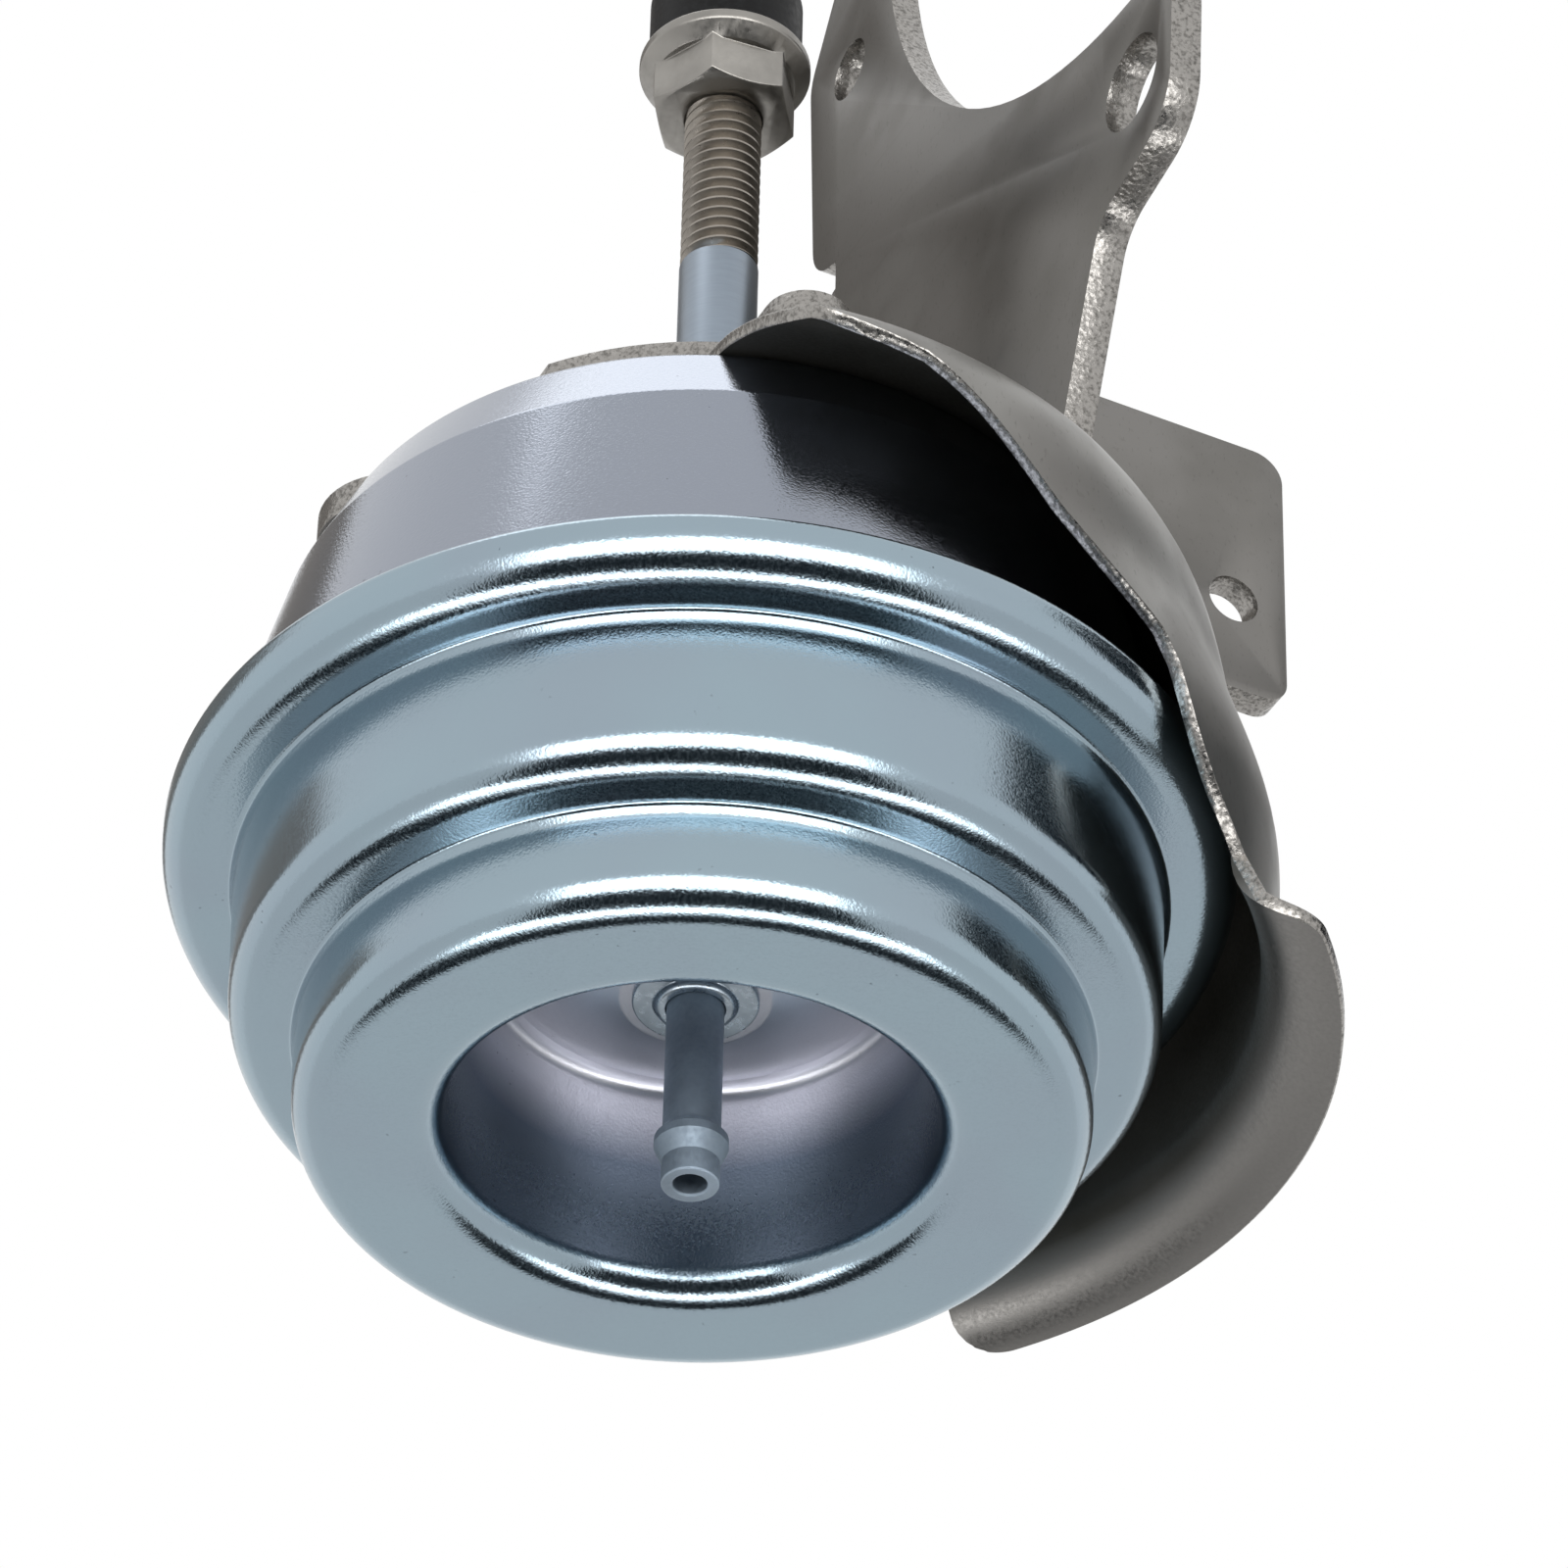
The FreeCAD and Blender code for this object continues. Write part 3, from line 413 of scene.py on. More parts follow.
def sheared_edge(name, look):
    """Cut edge of the stamped sheet: the burnished and torn bands tumble to a mottled grey whose
    small facets flash in the light."""
    material, tree, shader, place = new_surface(name, look.edge, 1.0, 0.28)
    facet = add(tree, "ShaderNodeTexVoronoi", {"Scale": per_mm(0.45), "Randomness": 1.0}, {"Vector": place})
    # Torn patches are 0.35 mm, the facets that flash between them 0.45 mm
    tear = add(
        tree,
        "ShaderNodeTexNoise",
        {"Scale": per_mm(0.35), "Detail": 3.0, "Roughness": 0.65},
        {"Vector": place},
    )
    dark = add(
        tree, "ShaderNodeMapRange", {"From Min": 0.46, "From Max": 0.66, "To Max": 0.75}, {"Value": tear}
    )
    tint = add(tree, "ShaderNodeMix", {"data_type": "RGBA", 6: look.edge, 7: look.pit}, {0: dark})
    tree.links.new(tint.outputs[2], shader.inputs["Base Color"])
    satin = add(
        tree,
        "ShaderNodeMapRange",
        {"From Min": 0.35, "From Max": 0.65, "To Min": 0.2, "To Max": 0.42},
        {"Value": tear},
    )
    tree.links.new(satin.outputs[0], shader.inputs["Roughness"])
    rough = add(tree, "ShaderNodeMath", {"operation": "ADD"}, {0: tear, 1: facet.outputs["Distance"]})
    relief = add(tree, "ShaderNodeBump", {"Strength": 0.55, "Distance": 0.06 * MM}, {"Height": rough})
    tree.links.new(relief.outputs[0], shader.inputs["Normal"])
    return material


def shield_inside(name, look):
    """Inside of the heat shield: painted shade beside the can, a dark mottled grey that stands in for the
    shadow there, and plain rolled grey again on the flared lip."""
    material, tree, shader, place = new_surface(name, look.inside, 1.0, 0.42)
    height = add(tree, "ShaderNodeSeparateXYZ", links={0: place}).outputs["Z"]
    lip = add(
        tree,
        "ShaderNodeMapRange",
        {"From Min": (SEAM - 9.4) * MM, "From Max": (SEAM - 11.6) * MM},
        {"Value": height},
    )
    stain = add(tree, "ShaderNodeTexNoise", {"Scale": per_mm(7.0), "Detail": 4.0}, {"Vector": place})
    stain = add(tree, "ShaderNodeMapRange", {"From Min": 0.35, "From Max": 0.75}, {"Value": stain})
    # Painted shade: darker mottling within the dark tint beside the can
    scale = linear("#3b3a35")
    painted_shade = add(tree, "ShaderNodeMix", {"data_type": "RGBA", 6: look.inside, 7: scale}, {0: stain})
    tint = add(tree, "ShaderNodeMix", {"data_type": "RGBA", 7: look.grey}, {0: lip, 6: painted_shade.outputs[2]})
    tree.links.new(tint.outputs[2], shader.inputs["Base Color"])
    # Beside the can the sheet is only partly metallic, so that light from all round shows on the painted
    # shade
    bare = add(tree, "ShaderNodeMapRange", {"To Min": 0.35, "To Max": 1.0}, {"Value": lip})
    tree.links.new(bare.outputs[0], shader.inputs["Metallic"])
    grain = add(tree, "ShaderNodeTexNoise", {"Scale": per_mm(0.3), "Detail": 2.0}, {"Vector": place})
    satin = add(
        tree,
        "ShaderNodeMapRange",
        {"From Min": 0.3, "From Max": 0.7, "To Min": 0.34, "To Max": 0.48},
        {"Value": grain},
    )
    tree.links.new(satin.outputs[0], shader.inputs["Roughness"])
    relief = add(tree, "ShaderNodeBump", {"Strength": 0.25, "Distance": 0.02 * MM}, {"Height": grain})
    tree.links.new(relief.outputs[0], shader.inputs["Normal"])
    return material


def machined_steel(name, colour, roughness, grain_size, relief_depth=0.03):
    """Steel as it comes from the lathe or the header: a soft sheen broken by fine marks and clouds."""
    material, tree, shader, place = new_surface(name, colour, 1.0, roughness)
    cloud = add(tree, "ShaderNodeTexNoise", {"Scale": per_mm(4.0), "Detail": 2.0}, {"Vector": place})
    cloud = add(
        tree, "ShaderNodeMapRange", {"From Min": 0.35, "From Max": 0.75, "To Max": 0.7}, {"Value": cloud}
    )
    dark = (colour[0] * 0.62, colour[1] * 0.62, colour[2] * 0.62, 1.0)
    tint = add(tree, "ShaderNodeMix", {"data_type": "RGBA", 6: tuple(colour), 7: dark}, {0: cloud})
    tree.links.new(tint.outputs[2], shader.inputs["Base Color"])
    grain = add(tree, "ShaderNodeTexNoise", {"Scale": per_mm(grain_size), "Detail": 3.0}, {"Vector": place})
    satin = add(
        tree,
        "ShaderNodeMapRange",
        {"From Min": 0.3, "From Max": 0.7, "To Min": roughness - 0.07, "To Max": roughness + 0.08},
        {"Value": grain},
    )
    tree.links.new(satin.outputs[0], shader.inputs["Roughness"])
    relief = add(
        tree, "ShaderNodeBump", {"Strength": 0.25, "Distance": relief_depth * MM}, {"Height": grain}
    )
    tree.links.new(relief.outputs[0], shader.inputs["Normal"])
    return material


def drawn_rod(name, colour, roughness):
    """Drawn and plated rod: fine rings round it from polishing, close to matt."""
    material, tree, shader, place = new_surface(name, colour, 1.0, roughness)
    rings = add(tree, "ShaderNodeMapping", {"Scale": (0.1, 0.1, 1.0)}, {"Vector": place})
    # Polishing rings some 0.2 mm apart
    grain = add(tree, "ShaderNodeTexNoise", {"Scale": per_mm(0.2), "Detail": 3.0}, {"Vector": rings})
    part = add(
        tree, "ShaderNodeMapRange", {"From Min": 0.3, "From Max": 0.7, "To Max": 0.25}, {"Value": grain}
    )
    dark = (colour[0] * 0.7, colour[1] * 0.7, colour[2] * 0.7, 1.0)
    tint = add(tree, "ShaderNodeMix", {"data_type": "RGBA", 6: tuple(colour), 7: dark}, {0: part})
    tree.links.new(tint.outputs[2], shader.inputs["Base Color"])
    relief = add(tree, "ShaderNodeBump", {"Strength": 0.2, "Distance": 0.02 * MM}, {"Height": grain})
    tree.links.new(relief.outputs[0], shader.inputs["Normal"])
    return material


def black_oxide(name):
    """Blackened forging: almost black, with a satin skin and a fine cast grain."""
    material, tree, shader, place = new_surface(name, linear("#101112"), 0.0, 0.42)
    shader.inputs["Specular IOR Level"].default_value = 0.15
    # Grain of the forging, 0.5 mm
    grain = add(tree, "ShaderNodeTexNoise", {"Scale": per_mm(0.5), "Detail": 3.0}, {"Vector": place})
    part = add(tree, "ShaderNodeMapRange", {"From Min": 0.45, "From Max": 0.75}, {"Value": grain})
    tint = add(
        tree, "ShaderNodeMix", {"data_type": "RGBA", 6: linear("#0d0d0e"), 7: linear("#1a1b1c")}, {0: part}
    )
    tree.links.new(tint.outputs[2], shader.inputs["Base Color"])
    satin = add(
        tree,
        "ShaderNodeMapRange",
        {"From Min": 0.3, "From Max": 0.7, "To Min": 0.34, "To Max": 0.5},
        {"Value": grain},
    )
    tree.links.new(satin.outputs[0], shader.inputs["Roughness"])
    relief = add(tree, "ShaderNodeBump", {"Strength": 0.3, "Distance": 0.04 * MM}, {"Height": grain})
    tree.links.new(relief.outputs[0], shader.inputs["Normal"])
    return material


def moulded_rubber(name):
    """Fabric-reinforced rubber: matt black with the weave showing through."""
    material, tree, shader, place = new_surface(name, linear("#26282a"), 0.0, 0.75)
    # Threads of the weave 1.2 mm apart; a wave texture repeats every 0.314 units of its scale
    weave = add(
        tree, "ShaderNodeTexWave", {"Scale": per_mm(1.2) * 0.314, "Distortion": 0.6}, {"Vector": place}
    ).outputs["Fac"]
    tint = add(
        tree, "ShaderNodeMix", {"data_type": "RGBA", 6: linear("#1d1f21"), 7: linear("#34373a")}, {0: weave}
    )
    tree.links.new(tint.outputs[2], shader.inputs["Base Color"])
    relief = add(tree, "ShaderNodeBump", {"Strength": 0.3, "Distance": 0.08 * MM}, {"Height": weave})
    tree.links.new(relief.outputs[0], shader.inputs["Normal"])
    return material


def dress(node, material):
    """Puts a material in every slot of a frame node."""
    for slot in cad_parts[node].material_slots:
        slot.material = material


def new_piece(name, mesh, materials, body, smooth_angle=35.0):
    """Object made from a bmesh that rides on a body. Edges sharper than the angle stay sharp."""
    data = bpy.data.meshes.new(name)
    mesh.to_mesh(data)
    mesh.free()
    for material in materials:
        data.materials.append(material)
    piece = bpy.data.objects.new(name, data)
    bpy.context.scene.collection.objects.link(piece)
    data.shade_smooth()
    data.set_sharp_from_angle(angle=math.radians(smooth_angle))
    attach(piece, body)
    return piece


def broken_edges(node, name, materials, body, width, is_cut):
    """Copy of a frame node whose sharp edges are broken, with a second material on its cut faces."""
    mesh = bmesh.new()
    mesh.from_mesh(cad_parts[node].data)
    bmesh.ops.remove_doubles(mesh, verts=mesh.verts, dist=0.004 * MM)
    flat = math.radians(1.0)
    bmesh.ops.dissolve_limit(mesh, angle_limit=flat, verts=mesh.verts, edges=mesh.edges)
    mesh.faces.ensure_lookup_table()
    for face in mesh.faces:
        face.material_index = 1 if is_cut(face.calc_center_median() / MM, face.normal) else 0
    corner = math.radians(40.0)
    inner = [edge for edge in mesh.edges if len(edge.link_faces) == 2]
    sharp = [edge for edge in inner if edge.calc_face_angle() > corner]
    bmesh.ops.bevel(
        mesh,
        geom=sharp,
        offset=width * MM,
        offset_type="OFFSET",
        segments=2,
        profile=0.5,
        affect="EDGES",
        clamp_overlap=True,
        loop_slide=True,
        material=-1,
    )
    piece = new_piece(name, mesh, materials, body, 50.0)
    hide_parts(node)
    return piece


def lathe(mesh, points, steps):
    """Adds a turned surface to a bmesh, from radius and height points in millimetres."""
    rings = []
    for radius, height in points:
        if radius == 0.0:
            rings.append([mesh.verts.new((0.0, 0.0, height * MM))])
            continue
        ring = []
        for i in range(steps):
            angle = 2.0 * math.pi * i / steps
            x = radius * MM * math.cos(angle)
            y = radius * MM * math.sin(angle)
            ring.append(mesh.verts.new((x, y, height * MM)))
        rings.append(ring)
    for low, high in zip(rings[:-1], rings[1:]):
        for i in range(steps):
            j = (i + 1) % steps
            if len(low) == 1:
                mesh.faces.new((low[0], high[j], high[i]))
            elif len(high) == 1:
                mesh.faces.new((low[i], low[j], high[0]))
            else:
                mesh.faces.new((low[i], low[j], high[j], high[i]))


def rounded_profile(corners):
    """Smooth profile through corners. Each corner is a radius, a height and its rounding."""
    points = []
    for i, (radius, height, rounding) in enumerate(corners):
        corner = Vector((radius, height))
        if rounding == 0.0:
            points.append(corner)
            continue
        before = (Vector(corners[i - 1][:2]) - corner).normalized()
        after = (Vector(corners[i + 1][:2]) - corner).normalized()
        half = before.angle(after) / 2.0
        centre = corner + (before + after).normalized() * rounding / math.sin(half)
        enter = corner + before * rounding / math.tan(half)
        leave = corner + after * rounding / math.tan(half)
        start = math.atan2(enter.y - centre.y, enter.x - centre.x)
        sweep = math.atan2(leave.y - centre.y, leave.x - centre.x) - start
        sweep = (sweep + math.pi) % (2.0 * math.pi) - math.pi
        count = max(3, int(abs(math.degrees(sweep)) / BEND_STEP))
        # Where two bends are close, the last points of the first one make room for the second
        while (enter - points[-1]).dot(before) > -BEND_GAP:
            points.pop()
        points.append(enter + before * BEND_LEAD)
        for k in range(count + 1):
            angle = start + sweep * k / count
            points.append(centre + rounding * Vector((math.cos(angle), math.sin(angle))))
        points.append(leave + after * BEND_LEAD)
    return points


def sheet_skin(outside, side, thickness):
    """Closed profile of a sheet: its outside, and the same line moved by the thickness to one side."""
    inside = []
    for i in range(len(outside)):
        ahead = (outside[min(i + 1, len(outside) - 1)] - outside[max(i - 1, 0)]).normalized()
        inside.append(outside[i] + side * thickness * Vector((-ahead.y, ahead.x)))
    return outside + inside[::-1] + outside[:1]


def pressed_can(name, corners, side, material, node):
    """Drawn can as a turned sheet of even thickness, in place of its frame node."""
    mesh = bmesh.new()
    skin = sheet_skin(rounded_profile(corners), side, CAN_SHEET)
    lathe(mesh, [(point.x, point.y + SEAM) for point in skin], CAN_COLUMNS)
    bmesh.ops.remove_doubles(mesh, verts=mesh.verts, dist=0.002 * MM)
    bmesh.ops.recalc_face_normals(mesh, faces=mesh.faces)
    piece = new_piece(name, mesh, (material,), "can", 40.0)
    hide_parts(node)


class ACTUATOR_OT_cans(bpy.types.Operator):
    """Turns and plates the two cans, and plates the nipple with its collar"""

    bl_idname = "actuator.cans"
    bl_label = "Cans and nipple"

    def execute(self, context):
        look = context.scene.actuator_can
        rough = look.roughness
        # The upper can mirrors a little more sharply than the lower one
        lower = satin_zinc("satin_zinc_lower_can", look.blue, look.grey, rough, lower_can_zones(look))
        # Painted reflection: the tint of the upper can stands in for the surroundings it mirrors
        upper = satin_zinc("satin_zinc_upper_can", look.lilac_painted_reflection, look.lilac_painted_reflection, rough - 0.04, plain_zones)
        pressed_can("drawn_lower_can", LOWER_CAN, -1.0, lower, "lower_can")
        pressed_can("drawn_upper_can", UPPER_CAN, 1.0, upper, "upper_can")
        tube = machined_steel("zinc_plated_nipple_tube", linear("#9fadba"), 0.6, 0.4, 0.05)
        dress("vacuum_nipple", tube)
        collar = machined_steel("zinc_plated_nipple_collar", linear("#a9b4bd"), 0.3, 0.5)
        dress("nipple_collar", collar)
        return {"FINISHED"}


def shield_profile():
    """Rings of the heat shield as height, shift and radius, on a smooth curve and round the flare."""
    points = [Vector(ring) for ring in SHIELD_RINGS]
    rings = []
    for i in range(len(points) - 1):
        tangents = []
        for j in (i, i + 1):
            before = points[max(j - 1, 0)]
            after = points[min(j + 1, len(points) - 1)]
            low = max((points[j] - before).length, 0.001)
            high = max((after - points[j]).length, 0.001)
            slope = (points[j] - before) / low * high + (after - points[j]) / high * low
            tangents.append(slope / (low + high))
        span = (points[i + 1] - points[i]).length
        count = max(2, min(RINGS_PER_SPAN, int(span / RING_GAP)))
        for k in range(count):
            t = k / count
            a = 2 * t ** 3 - 3 * t ** 2 + 1
            b = t ** 3 - 2 * t ** 2 + t
            c = -2 * t ** 3 + 3 * t ** 2
            d = t ** 3 - t ** 2
            near = points[i] * a + tangents[0] * b * span
            rings.append(near + points[i + 1] * c + tangents[1] * d * span)
    height, shift, radius = SHIELD_RINGS[-1]
    for k in range(FLARE_STEPS + 1):
        angle = math.pi / 2.0 * k / FLARE_STEPS
        low = height - SHIELD_FLARE * math.sin(angle)
        wide = radius + SHIELD_FLARE * (1.0 - math.cos(angle))
        rings.append(Vector((low, shift, wide)))
    return rings


def shield_point(ring, angle, inset=0.0, lean=(0.0, 1.0)):
    """Point of the shield in millimetres. The lean is the outward direction as height and radius."""
    height, shift, radius = ring
    radius -= inset * lean[1]
    return Vector((shift + radius * math.cos(angle), radius * math.sin(angle), height - inset * lean[0]))


def edge_x(height, edge, shift):
    """X of the trimmed edge at a height over the seam."""
    for (x0, z0), (x1, z1) in zip(edge[:-1], edge[1:]):
        if z1 <= height <= z0:
            return shift + x0 + (x1 - x0) * (z0 - height) / (z0 - z1)
    return shift + (edge[0][0] if height > edge[0][1] else edge[-1][0])


def shield_end(rings, angle):
    """How far down its rings the shield reaches at an angle, as a ring number with a fraction."""
    lip_start = len(rings) - FLARE_STEPS - 1
    if LIP_NEAR <= angle <= LIP_FAR:
        # Rounded corner of the lip: a circle that touches the radial cut and the lip's outline
        middle = rings[-1][2] - LIP_CORNER
        turn = math.asin(LIP_CORNER / middle)
        off = turn - min(angle - LIP_NEAR, LIP_FAR - angle)
        if off <= 0.0:
            return len(rings) - 1.0
        across = middle * math.sin(off)
        reach = middle * math.cos(off) + math.sqrt(max(LIP_CORNER ** 2 - across ** 2, 0.0))
        for i in range(lip_start, len(rings) - 1):
            if rings[i + 1][2] >= reach:
                return i + (reach - rings[i][2]) / (rings[i + 1][2] - rings[i][2])
        return len(rings) - 1.0
    shift = 0.0 if angle < 0.0 else EDGE_SHIFT_FAR
    previous = None
    for i in range(lip_start + 1):
        point = shield_point(rings[i], angle)
        room = point.x - edge_x(point.z, SHIELD_EDGE, shift)
        if room < 0.0:
            if previous is None:
                return 0.0
            return i - 1 + previous / (previous - room)
        previous = room
    return float(lip_start)


def shield_angles():
    """Columns round the shield: evenly apart, and closer where the lip's corners turn."""
    angles = set()
    for i in range(int(360.0 / COLUMN_STEP)):
        angles.add(round(-180.0 + COLUMN_STEP * i, 3))
    for side, way in ((math.degrees(LIP_NEAR), 1), (math.degrees(LIP_FAR), -1)):
        for i in range(CORNER_COLUMNS):
            angles.add(round(side + way * (CORNER_START + CORNER_STEP * i), 3))
    return [math.radians(angle) for angle in sorted(angles)]


def ring_at(rings, place):
    """Ring between two others, at a ring number with a fraction."""
    i = min(int(place), len(rings) - 2)
    return rings[i].lerp(rings[i + 1], place - i)


def shield_lean(rings, place):
    """Outward direction of the sheet at a ring, as height and radius."""
    i = min(int(place), len(rings) - 2)
    ahead = rings[min(i + 1, len(rings) - 1)] - rings[max(i - 1, 0)]
    length = math.hypot(ahead[0], ahead[2])
    return (ahead[2] / length, -ahead[0] / length)


def shield_mesh():
    """Bell of thin sheet as one closed skin: outside, sheared edge with broken corners, inside."""
    rings = shield_profile()
    mesh = bmesh.new()
    last = len(rings) - 1
    columns = []
    for angle in shield_angles():
        end = shield_end(rings, angle)
        ring = ring_at(rings, end)
        lean = shield_lean(rings, end)
        tip = shield_point(ring, angle)
        under_tip = shield_point(ring, angle, SHIELD_SHEET, lean)
        back = shield_point(ring_at(rings, max(end - 0.5, 0.0)), angle)
        along = (tip - back).normalized()
        through = (under_tip - tip).normalized()
        stop = end - EDGE_BREAK * 0.5 / max((tip - back).length, 0.001)
        outside = []
        inside = []
        # The rows are the same all round and stop at the trimmed edge, so that no crease runs up the sheet
        for k in range(SHIELD_ROWS):
            place = last * k / SHIELD_ROWS
            if place < stop:
                ring = ring_at(rings, place)
                lean = shield_lean(rings, place)
                outside.append(shield_point(ring, angle, 0.0, lean))
                inside.append(shield_point(ring, angle, SHIELD_SHEET, lean))
            else:
                outside.append(tip - along * EDGE_BREAK)
                inside.append(under_tip - along * EDGE_BREAK)
        hole = Vector((SHIELD_HOLE * math.cos(angle), SHIELD_HOLE * math.sin(angle), SHIELD_TOP))
        under = hole - Vector((0.0, 0.0, SHIELD_SHEET))
        column = [hole] + outside
        column.append(tip - along * EDGE_BREAK)
        column.append(tip + through * EDGE_BREAK)
        column.append(under_tip - through * EDGE_BREAK)
        column.append(under_tip - along * EDGE_BREAK)
        column += inside[::-1] + [under]
        columns.append([mesh.verts.new((p.x * MM, p.y * MM, (p.z + SEAM) * MM)) for p in column])
    # Slots of the faces: 0 outside, 1 inside, 2 the sheared edge
    cut = SHIELD_ROWS + 1
    for left, right in zip(columns, columns[1:] + columns[:1]):
        for j in range(len(left)):
            k = (j + 1) % len(left)
            face = mesh.faces.new((left[j], left[k], right[k], right[j]))
            if cut <= j <= cut + 2:
                face.material_index = 2
            elif j > cut + 2:
                face.material_index = 1
    bmesh.ops.remove_doubles(mesh, verts=mesh.verts, dist=0.002 * MM)
    bmesh.ops.recalc_face_normals(mesh, faces=mesh.faces)
    return mesh


class ACTUATOR_OT_shield(bpy.types.Operator):
    """Presses and trims the heat shield"""

    bl_idname = "actuator.shield"
    bl_label = "Heat shield"

    def execute(self, context):
        look = context.scene.actuator_sheet
        outside = rolled_sheet("rolled_stainless_shield", look, look.shield, look.grey)
        inside = shield_inside("shield_inside_painted_shade", look)
        edge = sheared_edge("sheared_shield_edge", look)
        piece = new_piece("pressed_heat_shield", shield_mesh(), (outside, inside, edge), "can", 42.0)
        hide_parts("heat_shield")
        return {"FINISHED"}


def is_bracket_cut(middle, normal):
    """True on the faces that stand square to the sheet in the base, in the plate and in the tab."""
    if middle.z < SEAM + SHIELD_TOP + BASE_FOLD:
        return middle.x < BASE_END and abs(normal.z) < 0.5
    if middle.x > TAB_START:
        return abs(normal.y) < 0.5
    if middle.y > TAB_FOLD and middle.z < SEAM + TAB_TOP:
        return abs(normal.z) > 0.7
    return abs(normal.x) < 0.5


class ACTUATOR_OT_bracket(bpy.types.Operator):
    """Breaks the edges of the bracket and finishes it with its rivets"""

    bl_idname = "actuator.bracket"
    bl_label = "Bracket and rivets"

    def execute(self, context):
        look = context.scene.actuator_sheet
        sheet = rolled_sheet("rolled_stainless_bracket", look, look.grey, look.shade)
        edge = sheared_edge("sheared_bracket_edge", look)
        piece = broken_edges("bracket", "folded_bracket", (sheet, edge), "can", 0.22, is_bracket_cut)
        rivets = machined_steel("headed_rivet_steel", linear("#9c9a97"), 0.35, 0.4)
        for number in (1, 2, 3):
            dress("bracket_rivet_%d" % number, rivets)
        return {"FINISHED"}


def helical_thread(mesh, crest, depth, pitch, low, high, steps):
    """Adds a screw thread in the second material. Its rows follow the helix, so that turns join."""
    per_turn = len(THREAD_PROFILE)
    turns = int((high - low) / pitch)
    rows = []
    for j in range(turns * per_turn):
        part, lift = THREAD_PROFILE[j % per_turn]
        start = low + (j // per_turn + part) * pitch
        radius = crest - depth * (1.0 - lift)
        row = []
        for i in range(steps):
            angle = 2.0 * math.pi * i / steps
            height = start + pitch * i / steps
            row.append(mesh.verts.new((radius * math.cos(angle), radius * math.sin(angle), height)))
        rows.append(row)
    for j in range(len(rows) - 1):
        for i in range(steps):
            if i + 1 < steps:
                face = mesh.faces.new((rows[j][i], rows[j][i + 1], rows[j + 1][i + 1], rows[j + 1][i]))
            elif j + 1 + per_turn < len(rows):
                ahead = j + per_turn
                face = mesh.faces.new((rows[j][i], rows[ahead][0], rows[ahead + 1][0], rows[j + 1][i]))
            else:
                continue
            face.material_index = 1


def is_nut_cut(middle, normal):
    """The nut has one finish all over."""
    return False


class ACTUATOR_OT_rod(bpy.types.Operator):
    """Turns the push rod with its rolled thread, and finishes nut and rod end"""

    bl_idname = "actuator.rod"
    bl_label = "Rod, nut and rod end"

    def execute(self, context):
        look = context.scene.actuator_rod
        mesh = bmesh.new()
        body = [(radius, SEAM + height) for radius, height in ROD_TAIL]
        body += [
            (ROD_RADIUS, THREAD_START),
            (ROD_RADIUS - 0.15, THREAD_START + 0.25),
            (CORE_RADIUS, THREAD_START + 0.5),
            (CORE_RADIUS, ROD_TOP - 0.6),
            (CORE_RADIUS - 0.4, ROD_TOP),
            (0.0, ROD_TOP),
        ]
        lathe(mesh, body, look.steps)
        low = (THREAD_START - 0.6) * MM
        high = (ROD_TOP - 0.7) * MM
        helical_thread(mesh, THREAD_CREST * MM, look.thread_depth, look.pitch, low, high, look.steps)
        bmesh.ops.recalc_face_normals(mesh, faces=mesh.faces)
        plain = drawn_rod("drawn_plated_rod", look.plain, 0.34)
        thread = machined_steel("rolled_thread_steel", look.thread, 0.33, 0.3)
        piece = new_piece("threaded_push_rod", mesh, (plain, thread), "rod")
        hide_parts("push_rod")
        nut = machined_steel("satin_nut_steel", look.nut, 0.36, 0.45)
        piece = broken_edges("lock_nut", "flanged_lock_nut", (nut, nut), "rod", 0.15, is_nut_cut)
        dress("rod_end", black_oxide("black_oxide_rod_end"))
        dress("rod_end_bush", machined_steel("turned_bearing_bronze", linear("#b49767"), 0.3, 0.3))
        return {"FINISHED"}


class ACTUATOR_OT_inside(bpy.types.Operator):
    """Finishes the pieces inside the cans and the rod guide"""

    bl_idname = "actuator.inside"
    bl_label = "Inside pieces"

    def execute(self, context):
        pressed = machined_steel("pressed_inner_steel", linear("#a3a6a8"), 0.32, 0.5)
        for node in ("piston_cup", "piston_plate", "piston_washer", "guide_cap"):
            dress(node, pressed)
        dress("rod_guide_bush", machined_steel("sintered_bronze_bush", linear("#a58a60"), 0.4, 0.25))
        dress("return_spring", machined_steel("hard_drawn_spring_wire", linear("#7d7f82"), 0.3, 0.3))
        rubber = moulded_rubber("fabric_rubber_diaphragm")
        dress("diaphragm", rubber)
        dress("rod_seal", rubber)
        return {"FINISHED"}


def aim(place, target):
    """Rotation that turns local -Z from a place to a target."""
    direction = (Vector(target) - Vector(place)).normalized()
    return Matrix.Translation(place) @ direction.to_track_quat("-Z", "Y").to_matrix().to_4x4()


def place_at(azimuth, elevation, distance, centre):
    """Point seen from a centre at an azimuth, counted from +X to +Y, and an elevation."""
    a = math.radians(azimuth)
    e = math.radians(elevation)
    direction = Vector((math.cos(e) * math.cos(a), math.cos(e) * math.sin(a), math.sin(e)))
    return Vector(centre) + distance * direction


def softbox(name, azimuth, elevation, distance, width, height, radiance, centre):
    """Area lamp turned to the object. Its power follows from the brightness that the metal mirrors."""
    lamp = bpy.data.lights.new(name, "AREA")
    lamp.shape = "RECTANGLE"
    lamp.size = width
    lamp.size_y = height
    lamp.energy = radiance * math.pi * width * height
    holder = bpy.data.objects.new(name, lamp)
    bpy.context.scene.collection.objects.link(holder)
    holder.matrix_world = aim(place_at(azimuth, elevation, distance, centre), centre)
    holder.visible_camera = False


